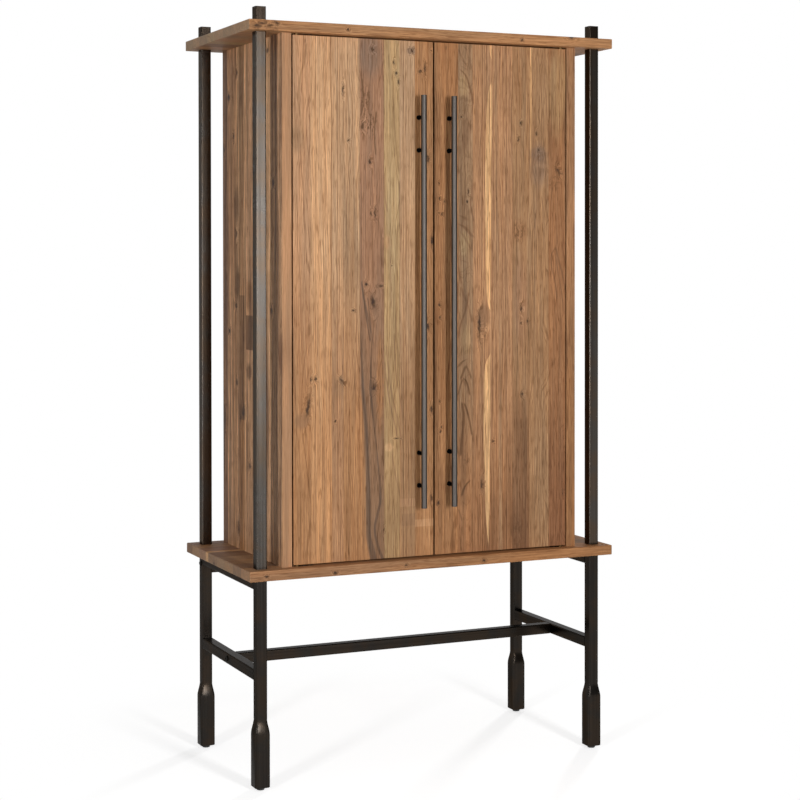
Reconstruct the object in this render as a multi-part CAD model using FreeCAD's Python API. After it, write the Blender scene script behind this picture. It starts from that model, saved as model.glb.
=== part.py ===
import FreeCAD, Part
import math
import os

from FreeCAD import Placement, Rotation, Vector

# Bar cabinet: a two-door case of stave boards between four square-tube posts, on a welded and bolted stand.
# Millimetres. X runs to the right, Y to the back and Z up.
# The origin lies on the floor under the middle of the whole box, handles included.

# Boards of the case
panel_width = 1000.0
panel_depth = 500.0
panel_thickness = 25.0
panel_edge_round = 2.0
case_height = 1295.0
case_end_setback = 94.0
case_front_setback = 30.0
case_back_setback = 25.0
side_thickness = 25.0
side_edge_round = 1.5
back_thickness = 10.0
back_lap = 12.0
back_fit = 0.5

# Doors
door_thickness = 22.0
door_edge_round = 1.5
door_side_gap = 3.0
door_end_gap = 3.5
door_meeting_gap = 3.5

# Shelves and their supports
shelf_thickness = 20.0
shelf_edge_round = 1.0
shelf_front_gap = 20.0
shelf_back_gap = 2.0
shelf_end_gap = 1.0
shelf_level_shares = (0.25, 0.5, 0.75)
support_depth_shares = (0.15, 0.85)
support_pin_radius = 2.5
support_pin_depth = 8.0
support_tab_length = 10.0
support_tab_width = 12.0
support_tab_thickness = 5.0

# Square tube of the posts, legs and rails
tube_side = 27.0
tube_wall = 2.0
tube_corner = 3.0
plug_gap = 0.2
post_setback = 26.0
post_rise = 35.0
post_hole_gap = 0.3
cap_thickness = 3.0
cap_spigot = 10.0
stand_height = 510.0
stretcher_height = 263.0
rear_rail_height = 50.0
weld_leg = 4.0

# Feet and glides
foot_flare = 5.6
foot_corner = 4.0
foot_height = 141.0
foot_taper = 24.0
foot_wall = 4.0
foot_spigot = 35.0
glide_height = 7.0
glide_radius = 11.0
glide_base_radius = 9.5
glide_round = 1.2
glide_insert = 12.0

# Studs that join the posts to the legs
stud_radius = 4.0
stud_fit = 0.1
stud_passage_gap = 0.5
stud_end_gap = 2.0
post_plug_length = 18.0
leg_plug_bolt_gap = 3.0

# Domed bolts in the ends of the long stretcher and the rear rail
bolt_radius = 4.0
bolt_fit = 0.1
bolt_head_radius = 7.0
bolt_head_height = 4.4
bolt_head_rim = 1.2
bolt_socket_radius = 2.9
bolt_socket_depth = 2.4
bolt_grip = 24.0
rail_plug_spare = 6.0

# Handles
handle_length = 1028.0
handle_radius = 7.25
handle_end_round = 0.6
handle_reach = 31.0
handle_inset = 40.0
handle_drop = 6.5
standoff_end = 54.0
standoff_pitch = 81.5
standoff_radius = 4.5
standoff_seat = 4.0
standoff_fit = 0.05
flange_radius = 6.0
flange_thickness = 3.5
handle_screw_radius = 2.0
handle_screw_fit = 0.1
handle_screw_grip = 13.0
handle_screw_spare = 2.0
handle_screw_head_radius = 4.0
handle_screw_head_height = 2.6

# Pivot hinges
pivot_from_edge = 12.0
pivot_from_front = 7.0
leaf_length = 42.0
leaf_width = 10.0
leaf_thickness = 3.0
leaf_fit = 0.2
leaf_screw_shares = (0.45, 0.8)
pin_radius = 3.0
pin_fit = 0.05
pin_tip_gap = 0.4
washer_radius = 5.0
washer_running_gap = 0.3

# Magnetic catches
catch_inset = 62.0
catch_length = 44.0
catch_depth = 16.0
catch_height = 16.0
catch_edge_round = 1.0
catch_gap = 0.4
catch_screw_share = 0.3
strike_length = 36.0
strike_thickness = 1.5
strike_top_gap = 1.5

# Wood screws and dowels
screw_radius = 1.75
screw_head_radius = 3.4
screw_head_height = 1.9
screw_fit = 0.1
screw_point = 3.0
hinge_screw_length = 16.0
catch_screw_bite = 12.0
strike_screw_length = 14.0
back_screw_bite = 18.0
back_screw_shares = (0.06, 0.28, 0.5, 0.72, 0.94)
apron_screw_bite = 15.0
apron_screw_shares = (0.2, 0.8)
dowel_radius = 4.0
dowel_length = 30.0
dowel_fit = 0.1
dowel_end_gap = 0.5
dowel_shares = (0.12, 0.37, 0.63, 0.88)

# How far a cutting shape runs past the face that it opens
overrun = 1.0

# Levels
foot_under = glide_height
foot_shoulder = foot_under + foot_height
foot_top = foot_shoulder + foot_taper
base_under = stand_height
base_top = base_under + panel_thickness
top_under = base_top + case_height
top_top = top_under + panel_thickness
post_top = top_top + post_rise
door_bottom = base_top + door_end_gap
door_top = top_under - door_end_gap
apron_under = base_under - tube_side
rear_rail_middle = base_under - rear_rail_height / 2
stretcher_middle = stretcher_height + tube_side / 2
handle_middle = (door_bottom + door_top) / 2 - handle_drop
handle_bottom = handle_middle - handle_length / 2

# Places across the width
side_outer = panel_width / 2 - case_end_setback
side_inner = side_outer - side_thickness
door_outer_edge = side_inner - door_side_gap
door_inner_edge = door_meeting_gap / 2
handle_x = door_inner_edge + handle_inset
catch_x = door_inner_edge + catch_inset
pivot_x = door_outer_edge - pivot_from_edge
post_x = panel_width / 2 - post_setback - tube_side / 2
frame_outer = post_x + tube_side / 2
frame_inner = post_x - tube_side / 2

# Places through the depth
handle_overhang = max(handle_reach + handle_radius - case_front_setback, 0)
panel_front = (handle_overhang - panel_depth) / 2
panel_back = panel_front + panel_depth
panel_middle = (panel_front + panel_back) / 2
case_front = panel_front + case_front_setback
case_back = panel_back - case_back_setback
back_front = case_back - back_thickness
door_back = case_front + door_thickness
pivot_y = case_front + pivot_from_front
handle_y = case_front - handle_reach
catch_front = door_back + strike_thickness + catch_gap
catch_middle = catch_front + catch_depth / 2
shelf_front = door_back + shelf_front_gap
shelf_back = back_front - shelf_back_gap
post_front = panel_front + post_setback + tube_side / 2
post_back = panel_back - post_setback - tube_side / 2
rail_front = post_front + tube_side / 2
rail_back = post_back - tube_side / 2

# Sizes that follow from what they fit
foot_side = tube_side + 2 * foot_flare
leg_plug_length = rear_rail_height / 2 - bolt_radius - leg_plug_bolt_gap
rail_plug_length = bolt_grip + rail_plug_spare

UP = Vector(0, 0, 1)
DOWN = -UP
RIGHT = Vector(1, 0, 0)
BACK = Vector(0, 1, 0)
FRONT = -BACK

SIDES = {"left": -1, "right": 1}
SHELF_LEVELS = ("lower", "middle", "upper")
CORNERS = {
    "front_left": (-post_x, post_front),
    "front_right": (post_x, post_front),
    "back_left": (-post_x, post_back),
    "back_right": (post_x, post_back),
}
# A hinge's end of the case: the panel face that carries it, and which way the door lies from there
HINGE_ENDS = ((base_top, 1), (top_under, -1))


# Basic shapes

def block(x0, x1, y0, y1, z0, z1):
    """Square-edged block between its lowest and highest corners."""
    return Part.makeBox(x1 - x0, y1 - y0, z1 - z0, Vector(x0, y0, z0))


def board(x0, x1, y0, y1, z0, z1, edge_round):
    """Block with every edge rounded."""
    plain = block(x0, x1, y0, y1, z0, z1)
    return plain.makeFillet(edge_round, plain.Edges)


def outline(width, depth, corner, level):
    """Closed level outline of a rectangle with round corners, centred on the Z axis."""
    reach_x = width / 2 - corner
    reach_y = depth / 2 - corner
    centres = ((reach_x, reach_y), (-reach_x, reach_y), (-reach_x, -reach_y), (reach_x, -reach_y))
    arcs = []
    for quarter, (x, y) in enumerate(centres):
        angles = [math.radians(90 * quarter + 45 * step) for step in range(3)]
        arcs.append([Vector(x + corner * math.cos(a), y + corner * math.sin(a), level) for a in angles])
    edges = []
    for points, following in zip(arcs, arcs[1:] + arcs[:1]):
        edges.append(Part.Arc(*points).toShape())
        edges.append(Part.LineSegment(points[2], following[0]).toShape())
    return Part.Wire(edges)


def bar(width, depth, corner, length):
    """Solid bar along Z, from zero upwards, with round corners."""
    return Part.Face(outline(width, depth, corner, 0)).extrude(UP * length)


def tube(width, depth, length):
    """Hollow tube along Z, from zero upwards."""
    bore_width = width - 2 * tube_wall
    bore_depth = depth - 2 * tube_wall
    bore_corner = tube_corner * bore_width / width
    return bar(width, depth, tube_corner, length).cut(bar(bore_width, bore_depth, bore_corner, length))


def plug(width, depth, length):
    """Bar along Z that slips into the bore of a tube of the given outer size."""
    play = 2 * (tube_wall + plug_gap)
    return bar(width - play, depth - play, tube_corner * (width - play) / width, length)


def placed(shape, at, axis=UP):
    """Copy of a shape made along Z, turned to point along an axis and set at a place."""
    copy = shape.copy()
    copy.Placement = Placement(at, Rotation(UP, axis))
    return copy


def rod(radius, start, axis, length):
    """Round rod from a start point along an axis."""
    return Part.makeCylinder(radius, length, start, axis)


def export(name, shapes):
    """Writes one node: a single solid, or a group of separate solids."""
    solids = shapes if isinstance(shapes, list) else [shapes]
    shape = solids[0] if len(solids) == 1 else Part.makeCompound(solids)
    shape.exportStep("parts/" + name + ".step")


# Fasteners, each made along Z with its seat at zero and its shank upwards

def wood_screw(length, allowance=0):
    """Countersunk screw; with an allowance, the hole that takes it."""
    head = Part.makeCone(screw_head_radius + allowance, screw_radius + allowance, screw_head_height)
    shank = rod(screw_radius + allowance, Vector(0, 0, 0), UP, length - screw_point + allowance)
    tip_level = length - screw_point + allowance
    point = Part.makeCone(screw_radius + allowance, 0, screw_point, UP * tip_level)
    return head.fuse([shank, point]).removeSplitter()


def domed_bolt(shank_length):
    """Bolt with a domed head and a six-sided socket."""
    rise = bolt_head_height - bolt_head_rim
    dome_radius = (rise ** 2 + bolt_head_radius ** 2) / (2 * rise)
    half_angle = math.asin(bolt_head_radius / dome_radius) / 2
    crown = Vector(0, 0, -bolt_head_height)
    rim = Vector(bolt_head_radius, 0, -bolt_head_rim)
    seat = Vector(bolt_head_radius, 0, 0)
    centre_level = dome_radius - bolt_head_height
    on_dome = Vector(dome_radius * math.sin(half_angle), 0, centre_level - dome_radius * math.cos(half_angle))
    profile = Part.Wire([
        Part.LineSegment(Vector(0, 0, 0), seat).toShape(),
        Part.LineSegment(seat, rim).toShape(),
        Part.Arc(rim, on_dome, crown).toShape(),
        Part.LineSegment(crown, Vector(0, 0, 0)).toShape(),
    ])
    head = Part.Face(profile).revolve(Vector(0, 0, 0), UP, 360)
    corners = [math.radians(60 * step) for step in range(7)]
    socket_points = [
        Vector(bolt_socket_radius * math.cos(a), bolt_socket_radius * math.sin(a), -bolt_head_height)
        for a in corners
    ]
    socket = Part.Face(Part.makePolygon(socket_points)).extrude(UP * bolt_socket_depth)
    shank = rod(bolt_radius, Vector(0, 0, 0), UP, shank_length)
    return head.fuse(shank).removeSplitter().cut(socket)


def handle_screw():
    """Pan-headed screw that passes through a door into a standoff."""
    head = rod(handle_screw_head_radius, Vector(0, 0, 0), DOWN, handle_screw_head_height)
    return head.fuse(rod(handle_screw_radius, Vector(0, 0, 0), UP, door_thickness + handle_screw_grip))


# Stand: legs, feet, glides and rails

def rail_bolt_places():
    """Seat of each rail bolt on the frame's outer face, with its side of the cabinet."""
    levels = ((post_back, rear_rail_middle), (panel_middle, stretcher_middle))
    return [(side, Vector(side * frame_outer, y, z)) for side in SIDES.values() for y, z in levels]


def rail_bolt_holes():
    """Holes for all the rail bolts, through the outer tube and into the plug behind it."""
    reach = tube_side + rail_plug_length + overrun
    radius = bolt_radius + bolt_fit
    return [rod(radius, seat + RIGHT * side * overrun, RIGHT * -side, reach + overrun)
            for side, seat in rail_bolt_places()]


def leg(x, y):
    """Leg tube between a foot and the base panel."""
    upright = placed(tube(tube_side, tube_side, base_under - foot_top), Vector(x, y, foot_top))
    return upright.cut(rail_bolt_holes())


def foot(x, y):
    """Flared foot, hollow from below, with a spigot up into the leg."""
    sleeve = placed(bar(foot_side, foot_side, foot_corner, foot_height), Vector(0, 0, foot_under))
    taper = Part.makeLoft([
        outline(foot_side, foot_side, foot_corner, foot_shoulder),
        outline(tube_side, tube_side, tube_corner, foot_top),
    ], True, True)
    spigot = placed(plug(tube_side, tube_side, foot_spigot), Vector(0, 0, foot_top))
    hollow_side = foot_side - 2 * foot_wall
    hollow_corner = foot_corner * hollow_side / foot_side
    hollow = bar(hollow_side, hollow_side, hollow_corner, foot_height - foot_wall)
    whole = sleeve.fuse([taper, spigot]).removeSplitter().cut(placed(hollow, Vector(0, 0, foot_under)))
    return placed(whole, Vector(x, y, 0))


def glide(x, y):
    """Push-in plug for the open end of a foot, with the round glide that meets the floor."""
    disc = Part.makeCone(glide_base_radius, glide_radius, glide_height)
    floor_edge = [edge for edge in disc.Edges if edge.BoundBox.ZMax < glide_height / 2]
    disc = disc.makeFillet(glide_round, floor_edge)
    side = foot_side - 2 * (foot_wall + plug_gap)
    insert = placed(bar(side, side, foot_corner * side / foot_side, glide_insert), Vector(0, 0, glide_height))
    return placed(disc.fuse(insert), Vector(x, y, 0))


def apron(side):
    """Rail under the base panel between a front and a back leg."""
    at = Vector(side * post_x, rail_front, apron_under + tube_side / 2)
    rail = placed(tube(tube_side, tube_side, rail_back - rail_front), at, BACK)
    return rail.cut(apron_screws(side, screw_fit))


def apron_screws(side, allowance=0):
    """Screws up through one apron into the base panel, or their holes."""
    length = rail_back - rail_front
    screw = wood_screw(tube_side + apron_screw_bite, allowance)
    return [placed(screw, Vector(side * post_x, rail_front + share * length, apron_under), UP)
            for share in apron_screw_shares]


def side_stretcher(side):
    """Low rail between a front and a back leg."""
    at = Vector(side * post_x, rail_front, stretcher_middle)
    return placed(tube(tube_side, tube_side, rail_back - rail_front), at, BACK).cut(rail_bolt_holes())


def long_stretcher():
    """Low rail between the two side stretchers."""
    at = Vector(-frame_inner, panel_middle, stretcher_middle)
    return placed(tube(tube_side, tube_side, 2 * frame_inner), at, RIGHT)


def rear_rail():
    """Deep rail between the back legs, under the base panel."""
    at = Vector(-frame_inner, post_back, rear_rail_middle)
    return placed(tube(rear_rail_height, tube_side, 2 * frame_inner), at, RIGHT)


def rail_end_plugs():
    """Threaded plugs in the ends of the long stretcher and the rear rail."""
    rails = ((tube_side, panel_middle, stretcher_middle), (rear_rail_height, post_back, rear_rail_middle))
    plugs = []
    for side in SIDES.values():
        for height, y, z in rails:
            at = Vector(side * frame_inner, y, z)
            end = placed(plug(height, tube_side, rail_plug_length), at, RIGHT * -side)
            plugs.append(end.cut(rail_bolt_holes()))
    return plugs


def rail_bolts():
    """Domed bolts that draw the long stretcher and the rear rail against the frame's ends."""
    bolt = domed_bolt(tube_side + bolt_grip)
    return [placed(bolt, seat, RIGHT * -side) for side, seat in rail_bolt_places()]


def weld_beads():
    """Hollow-faced welds under the ends of the aprons and side stretchers."""
    width = tube_side - 2 * tube_corner
    inner = weld_leg * (1 - math.sqrt(0.5))
    beads = []
    for side in SIDES.values():
        x = side * post_x - width / 2
        for level in (apron_under, stretcher_height):
            for y, away in ((rail_front, 1), (rail_back, -1)):
                corner = Vector(x, y, level)
                along = Vector(x, y + away * weld_leg, level)
                below = Vector(x, y, level - weld_leg)
                hollow = Vector(x, y + away * inner, level - inner)
                section = Part.Wire([
                    Part.LineSegment(corner, along).toShape(),
                    Part.Arc(along, hollow, below).toShape(),
                    Part.LineSegment(below, corner).toShape(),
                ])
                beads.append(Part.Face(section).extrude(RIGHT * width))
    return beads


# Posts and what joins them to the legs

def post(x, y):
    """Post tube that stands on the base panel and rises through the top panel."""
    return placed(tube(tube_side, tube_side, post_top - cap_thickness - base_top), Vector(x, y, base_top))


def post_cap(x, y):
    """Flat cap with a spigot down into the post."""
    seat = Vector(x, y, post_top - cap_thickness)
    plate = placed(bar(tube_side, tube_side, tube_corner, cap_thickness), seat)
    return plate.fuse(placed(plug(tube_side, tube_side, cap_spigot), seat + DOWN * cap_spigot))


def stud_hole(x, y, gap):
    """Upright hole along the axis of a post and its leg."""
    start = base_under - leg_plug_length - overrun
    end = base_top + post_plug_length + overrun
    return rod(stud_radius + gap, Vector(x, y, start), UP, end - start)


def leg_plug(x, y):
    """Threaded plug in the top of a leg."""
    whole = placed(plug(tube_side, tube_side, leg_plug_length), Vector(x, y, base_under - leg_plug_length))
    return whole.cut(stud_hole(x, y, stud_fit))


def post_plug(x, y):
    """Threaded plug in the foot of a post."""
    whole = placed(plug(tube_side, tube_side, post_plug_length), Vector(x, y, base_top))
    return whole.cut(stud_hole(x, y, stud_fit))


def post_stud(x, y):
    """Stud from the leg's plug, through the base panel, to the post's plug."""
    start = base_under - leg_plug_length + stud_end_gap
    end = base_top + post_plug_length - stud_end_gap
    return rod(stud_radius, Vector(x, y, start), UP, end - start)


# Hinges

def tongue(side, z0, z1, allowance=0):
    """Hinge leaf's outline between two levels: straight, with a round nose about the pivot."""
    half = leaf_width / 2 + allowance
    x_ends = sorted((side * pivot_x, side * (pivot_x - leaf_length - allowance)))
    plate = block(x_ends[0], x_ends[1], pivot_y - half, pivot_y + half, z0, z1)
    nose = rod(half, Vector(side * pivot_x, pivot_y, z0), UP, z1 - z0)
    return plate.fuse(nose).removeSplitter()


def leaf_screw_places(side, level):
    """Seats of a leaf's screws on one level."""
    return [Vector(side * (pivot_x - share * leaf_length), pivot_y, level) for share in leaf_screw_shares]


def leaf_screws(side, level, direction, allowance=0):
    """Screws of one leaf, or their holes."""
    screw = wood_screw(hinge_screw_length, allowance)
    return [placed(screw, at, direction) for at in leaf_screw_places(side, level)]


def case_leaf_levels(level, up):
    """Lower and upper face of the leaf that is let into a panel's face."""
    return sorted((level, level - up * leaf_thickness))


def door_leaf_levels(level, up):
    """Lower and upper face of the leaf that is let into a door's end."""
    near = level + up * door_end_gap
    return sorted((near, near + up * leaf_thickness))


def case_leaf(side, level, up):
    """Leaf in the top or base panel, with the pivot pin."""
    z0, z1 = case_leaf_levels(level, up)
    pin_length = door_end_gap + 2 * leaf_thickness - pin_tip_gap
    pin = rod(pin_radius, Vector(side * pivot_x, pivot_y, level - up * leaf_thickness), UP * up, pin_length)
    return tongue(side, z0, z1).fuse(pin).removeSplitter().cut(leaf_screws(side, level, DOWN * up, screw_fit))


def door_leaf(side, level, up):
    """Leaf in a door's end, with the hole that turns on the pin."""
    z0, z1 = door_leaf_levels(level, up)
    hole = rod(pin_radius + pin_fit, Vector(side * pivot_x, pivot_y, z0 - overrun), UP, z1 - z0 + 2 * overrun)
    holes = leaf_screws(side, level + up * door_end_gap, UP * up, screw_fit)
    return tongue(side, z0, z1).cut([hole] + holes)


def hinge_washer(side, level, up):
    """Washer on the pin, between the two leaves."""
    seat = Vector(side * pivot_x, pivot_y, level)
    thickness = door_end_gap - washer_running_gap
    hole = rod(pin_radius + pin_fit, seat, UP * up, thickness)
    return rod(washer_radius, seat, UP * up, thickness).cut(hole)


def case_leaf_seats(level, up):
    """What is cut from a panel for its two hinge leaves and their screws."""
    cuts = []
    for side in SIDES.values():
        z0, z1 = case_leaf_levels(level, up)
        cuts.append(tongue(side, z0, z1, leaf_fit))
        cuts += leaf_screws(side, level, DOWN * up, screw_fit)
    return cuts


# Case: panels, sides, back, shelves

def dowel_places():
    """Centre of each dowel, on the joint between a side panel and the top or base panel."""
    depth = case_back - case_front
    middle = side_outer - side_thickness / 2
    return [Vector(side * middle, case_front + share * depth, level)
            for side in SIDES.values() for level in (base_top, top_under) for share in dowel_shares]


def dowel(centre, allowance=0, end_gap=0):
    """Dowel across a joint; with an allowance and end gap, the hole that takes it."""
    half = dowel_length / 2 + end_gap
    return rod(dowel_radius + allowance, centre + DOWN * half, UP, 2 * half)


def dowel_holes():
    """Holes for all the dowels."""
    return [dowel(centre, dowel_fit, dowel_end_gap) for centre in dowel_places()]


def overhanging_panel(under, top):
    """Plain panel of the full width and depth between two levels."""
    half = panel_width / 2
    return board(-half, half, panel_front, panel_back, under, top, panel_edge_round)


def base_panel():
    """Lower overhanging panel, which the posts, sides and bottom hinge leaves stand on."""
    cuts = dowel_holes() + case_leaf_seats(*HINGE_ENDS[0])
    cuts += [stud_hole(x, y, stud_passage_gap) for x, y in CORNERS.values()]
    for side in SIDES.values():
        cuts += apron_screws(side, screw_fit)
    return overhanging_panel(base_under, base_top).cut(cuts)


def top_panel():
    """Upper overhanging panel, with square holes for the posts."""
    hole_side = tube_side + 2 * post_hole_gap
    hole = bar(hole_side, hole_side, tube_corner + post_hole_gap, panel_thickness + 2 * overrun)
    cuts = dowel_holes() + case_leaf_seats(*HINGE_ENDS[1])
    cuts += [placed(hole, Vector(x, y, top_under - overrun)) for x, y in CORNERS.values()]
    for side in SIDES.values():
        cuts += catch_screws(side, screw_fit)
    return overhanging_panel(top_under, top_top).cut(cuts)


def side_panel(side):
    """Upright side of the case, rebated for the back panel."""
    x0, x1 = sorted((side * side_inner, side * side_outer))
    plate = block(x0, x1, case_front, case_back, base_top, top_under)
    front_edges = [edge for edge in plate.Edges
                   if edge.BoundBox.ZLength > case_height / 2 and edge.CenterOfMass.y < panel_middle]
    plate = plate.makeFillet(side_edge_round, front_edges)
    lap_x0, lap_x1 = sorted((side * (side_inner - overrun), side * (side_inner + back_lap)))
    rebate = block(lap_x0, lap_x1, back_front, case_back + overrun, base_top - overrun, top_under + overrun)
    return plate.cut([rebate] + dowel_holes() + support_holes(side) + back_screws(side, screw_fit))


def back_panel():
    """Thin back, lapped into the rebates of the sides."""
    reach = side_inner + back_lap - back_fit
    plate = block(-reach, reach, back_front, case_back, base_top + back_fit, top_under - back_fit)
    return plate.cut(back_screws(SIDES["left"], screw_fit) + back_screws(SIDES["right"], screw_fit))


def back_screws(side, allowance=0):
    """Screws through one edge of the back into a side panel, or their holes."""
    x = side * (side_inner + back_lap / 2)
    screw = wood_screw(back_thickness + back_screw_bite, allowance)
    levels = [base_top + share * case_height for share in back_screw_shares]
    return [placed(screw, Vector(x, case_back, level), FRONT) for level in levels]


def shelf_under(share):
    """Underside of the shelf at a share of the case's height."""
    return base_top + share * case_height - shelf_thickness / 2


def shelf(share):
    """Loose shelf on its four supports."""
    reach = side_inner - shelf_end_gap
    under = shelf_under(share)
    return board(-reach, reach, shelf_front, shelf_back, under, under + shelf_thickness, shelf_edge_round)


def support_places(side):
    """Where each support's pin enters one side panel."""
    ys = [shelf_front + share * (shelf_back - shelf_front) for share in support_depth_shares]
    levels = [shelf_under(share) - support_tab_thickness / 2 for share in shelf_level_shares]
    return [Vector(side * side_inner, y, level) for level in levels for y in ys]


def shelf_support(side, at):
    """Pin in the side panel with a flat tab under the shelf."""
    pin = rod(support_pin_radius, at, RIGHT * side, support_pin_depth)
    x0, x1 = sorted((at.x, at.x - side * support_tab_length))
    half_width = support_tab_width / 2
    half_height = support_tab_thickness / 2
    tab = block(x0, x1, at.y - half_width, at.y + half_width, at.z - half_height, at.z + half_height)
    return tab.fuse(pin)


def support_holes(side):
    """Holes for the support pins in one side panel."""
    depth = support_pin_depth + dowel_end_gap
    return [rod(support_pin_radius + dowel_fit, at, RIGHT * side, depth) for at in support_places(side)]


# Catches

def catch(side):
    """Magnet housing under the top panel, just behind a closed door."""
    x0 = side * catch_x - catch_length / 2
    x1 = side * catch_x + catch_length / 2
    back = catch_front + catch_depth
    housing = board(x0, x1, catch_front, back, top_under - catch_height, top_under, catch_edge_round)
    return housing.cut(catch_screws(side, screw_fit))


def catch_screws(side, allowance=0):
    """Screws up through a catch into the top panel, or their holes."""
    screw = wood_screw(catch_height + catch_screw_bite, allowance)
    spread = catch_length * catch_screw_share
    return [placed(screw, Vector(side * catch_x + along * spread, catch_middle, top_under - catch_height), UP)
            for along in SIDES.values()]


def strike_middle():
    """Height of the middle of a strike plate."""
    return (top_under - catch_height + door_top - strike_top_gap) / 2


def strike_plate(side):
    """Steel plate on a door's back, which the catch holds."""
    x0 = side * catch_x - strike_length / 2
    x1 = side * catch_x + strike_length / 2
    z0 = top_under - catch_height
    z1 = door_top - strike_top_gap
    plate = block(x0, x1, door_back, door_back + strike_thickness, z0, z1)
    return plate.cut(strike_screw(side, screw_fit))


def strike_screw(side, allowance=0):
    """Screw that holds a strike plate, or its hole."""
    at = Vector(side * catch_x, door_back + strike_thickness, strike_middle())
    return placed(wood_screw(strike_screw_length, allowance), at, FRONT)


# Doors and handles

def door(side):
    """Inset door, cut for its hinge leaves, handle screws and strike screw."""
    x0, x1 = sorted((side * door_outer_edge, side * door_inner_edge))
    plate = board(x0, x1, case_front, door_back, door_bottom, door_top, door_edge_round)
    cuts = [strike_screw(side, screw_fit)]
    for level, up in HINGE_ENDS:
        z0, z1 = door_leaf_levels(level, up)
        cuts.append(tongue(side, z0, z1, leaf_fit))
        cuts += leaf_screws(side, level + up * door_end_gap, UP * up, screw_fit)
    for z in standoff_levels():
        start = Vector(side * handle_x, case_front - overrun, z)
        cuts.append(rod(handle_screw_radius + handle_screw_fit, start, BACK, door_thickness + 2 * overrun))
    return plate.cut(cuts)


def standoff_levels():
    """Heights of a handle's four standoffs, in two pairs."""
    low = handle_bottom + standoff_end
    high = handle_bottom + handle_length - standoff_end
    return (low, low + standoff_pitch, high - standoff_pitch, high)


def handle_bar(side):
    """Long round bar with a blind seat for each standoff."""
    start = Vector(side * handle_x, handle_y, handle_bottom)
    whole = rod(handle_radius, start, UP, handle_length)
    ends = [edge for edge in whole.Edges if edge.BoundBox.ZLength < handle_radius]
    whole = whole.makeFillet(handle_end_round, ends)
    seats = []
    for z in standoff_levels():
        bottom = Vector(side * handle_x, handle_y + handle_radius - standoff_seat, z)
        seats.append(rod(standoff_radius + standoff_fit, bottom, BACK, standoff_seat + overrun))
    return whole.cut(seats)


def standoff(side, z):
    """Turned post between a door and its handle bar, flanged at the door and bored for its screw."""
    at = Vector(side * handle_x, case_front, z)
    neck = rod(standoff_radius, at, FRONT, handle_reach - handle_radius + standoff_seat)
    flange = rod(flange_radius, at, FRONT, flange_thickness)
    bore = rod(handle_screw_radius + handle_screw_fit, at, FRONT, handle_screw_grip + handle_screw_spare)
    return neck.fuse(flange).cut(bore)


# Nodes

os.makedirs("parts", exist_ok=True)

for corner, (x, y) in CORNERS.items():
    export("leg_" + corner, leg(x, y))
    export("foot_" + corner, foot(x, y))
    export("post_" + corner, post(x, y))
export("floor_glides", [glide(x, y) for x, y in CORNERS.values()])
export("leg_top_plugs", [leg_plug(x, y) for x, y in CORNERS.values()])
export("post_bottom_plugs", [post_plug(x, y) for x, y in CORNERS.values()])
export("post_studs", [post_stud(x, y) for x, y in CORNERS.values()])
export("post_caps", [post_cap(x, y) for x, y in CORNERS.values()])

export("long_stretcher", long_stretcher())
export("rear_rail", rear_rail())
export("rail_end_plugs", rail_end_plugs())
export("rail_bolts", rail_bolts())
export("weld_beads", weld_beads())

export("base_panel", base_panel())
export("top_panel", top_panel())
export("back_panel", back_panel())
export("panel_dowels", [dowel(centre) for centre in dowel_places()])
for level, share in zip(SHELF_LEVELS, shelf_level_shares):
    export("shelf_" + level, shelf(share))

for name, side in SIDES.items():
    export("apron_" + name, apron(side))
    export("side_stretcher_" + name, side_stretcher(side))
    export("side_panel_" + name, side_panel(side))
    export("door_" + name, door(side))
    export("handle_bar_" + name, handle_bar(side))
    export("handle_standoffs_" + name, [standoff(side, z) for z in standoff_levels()])
    screws = [placed(handle_screw(), Vector(side * handle_x, door_back, z), FRONT) for z in standoff_levels()]
    export("handle_screws_" + name, screws)
    export("strike_plate_" + name, strike_plate(side))
    export("strike_screw_" + name, strike_screw(side))
    export("hinge_door_leaves_" + name, [door_leaf(side, level, up) for level, up in HINGE_ENDS])
    screws = []
    for level, up in HINGE_ENDS:
        screws += leaf_screws(side, level + up * door_end_gap, UP * up)
    export("hinge_door_screws_" + name, screws)

both_hinges = [(side, level, up) for side in SIDES.values() for level, up in HINGE_ENDS]
export("hinge_case_leaves", [case_leaf(*hinge) for hinge in both_hinges])
export("hinge_washers", [hinge_washer(*hinge) for hinge in both_hinges])
case_screws = []
for side, level, up in both_hinges:
    case_screws += leaf_screws(side, level, DOWN * up)
export("hinge_case_screws", case_screws)

export("apron_screws", apron_screws(SIDES["left"]) + apron_screws(SIDES["right"]))
export("back_panel_screws", back_screws(SIDES["left"]) + back_screws(SIDES["right"]))
export("shelf_supports", [shelf_support(side, at) for side in SIDES.values() for at in support_places(side)])
export("magnet_catches", [catch(side) for side in SIDES.values()])
export("catch_screws", catch_screws(SIDES["left"]) + catch_screws(SIDES["right"]))
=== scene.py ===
"""Dresses the bar cabinet in stave wood and dark steel, and sets it in a plain studio."""

import math

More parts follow.
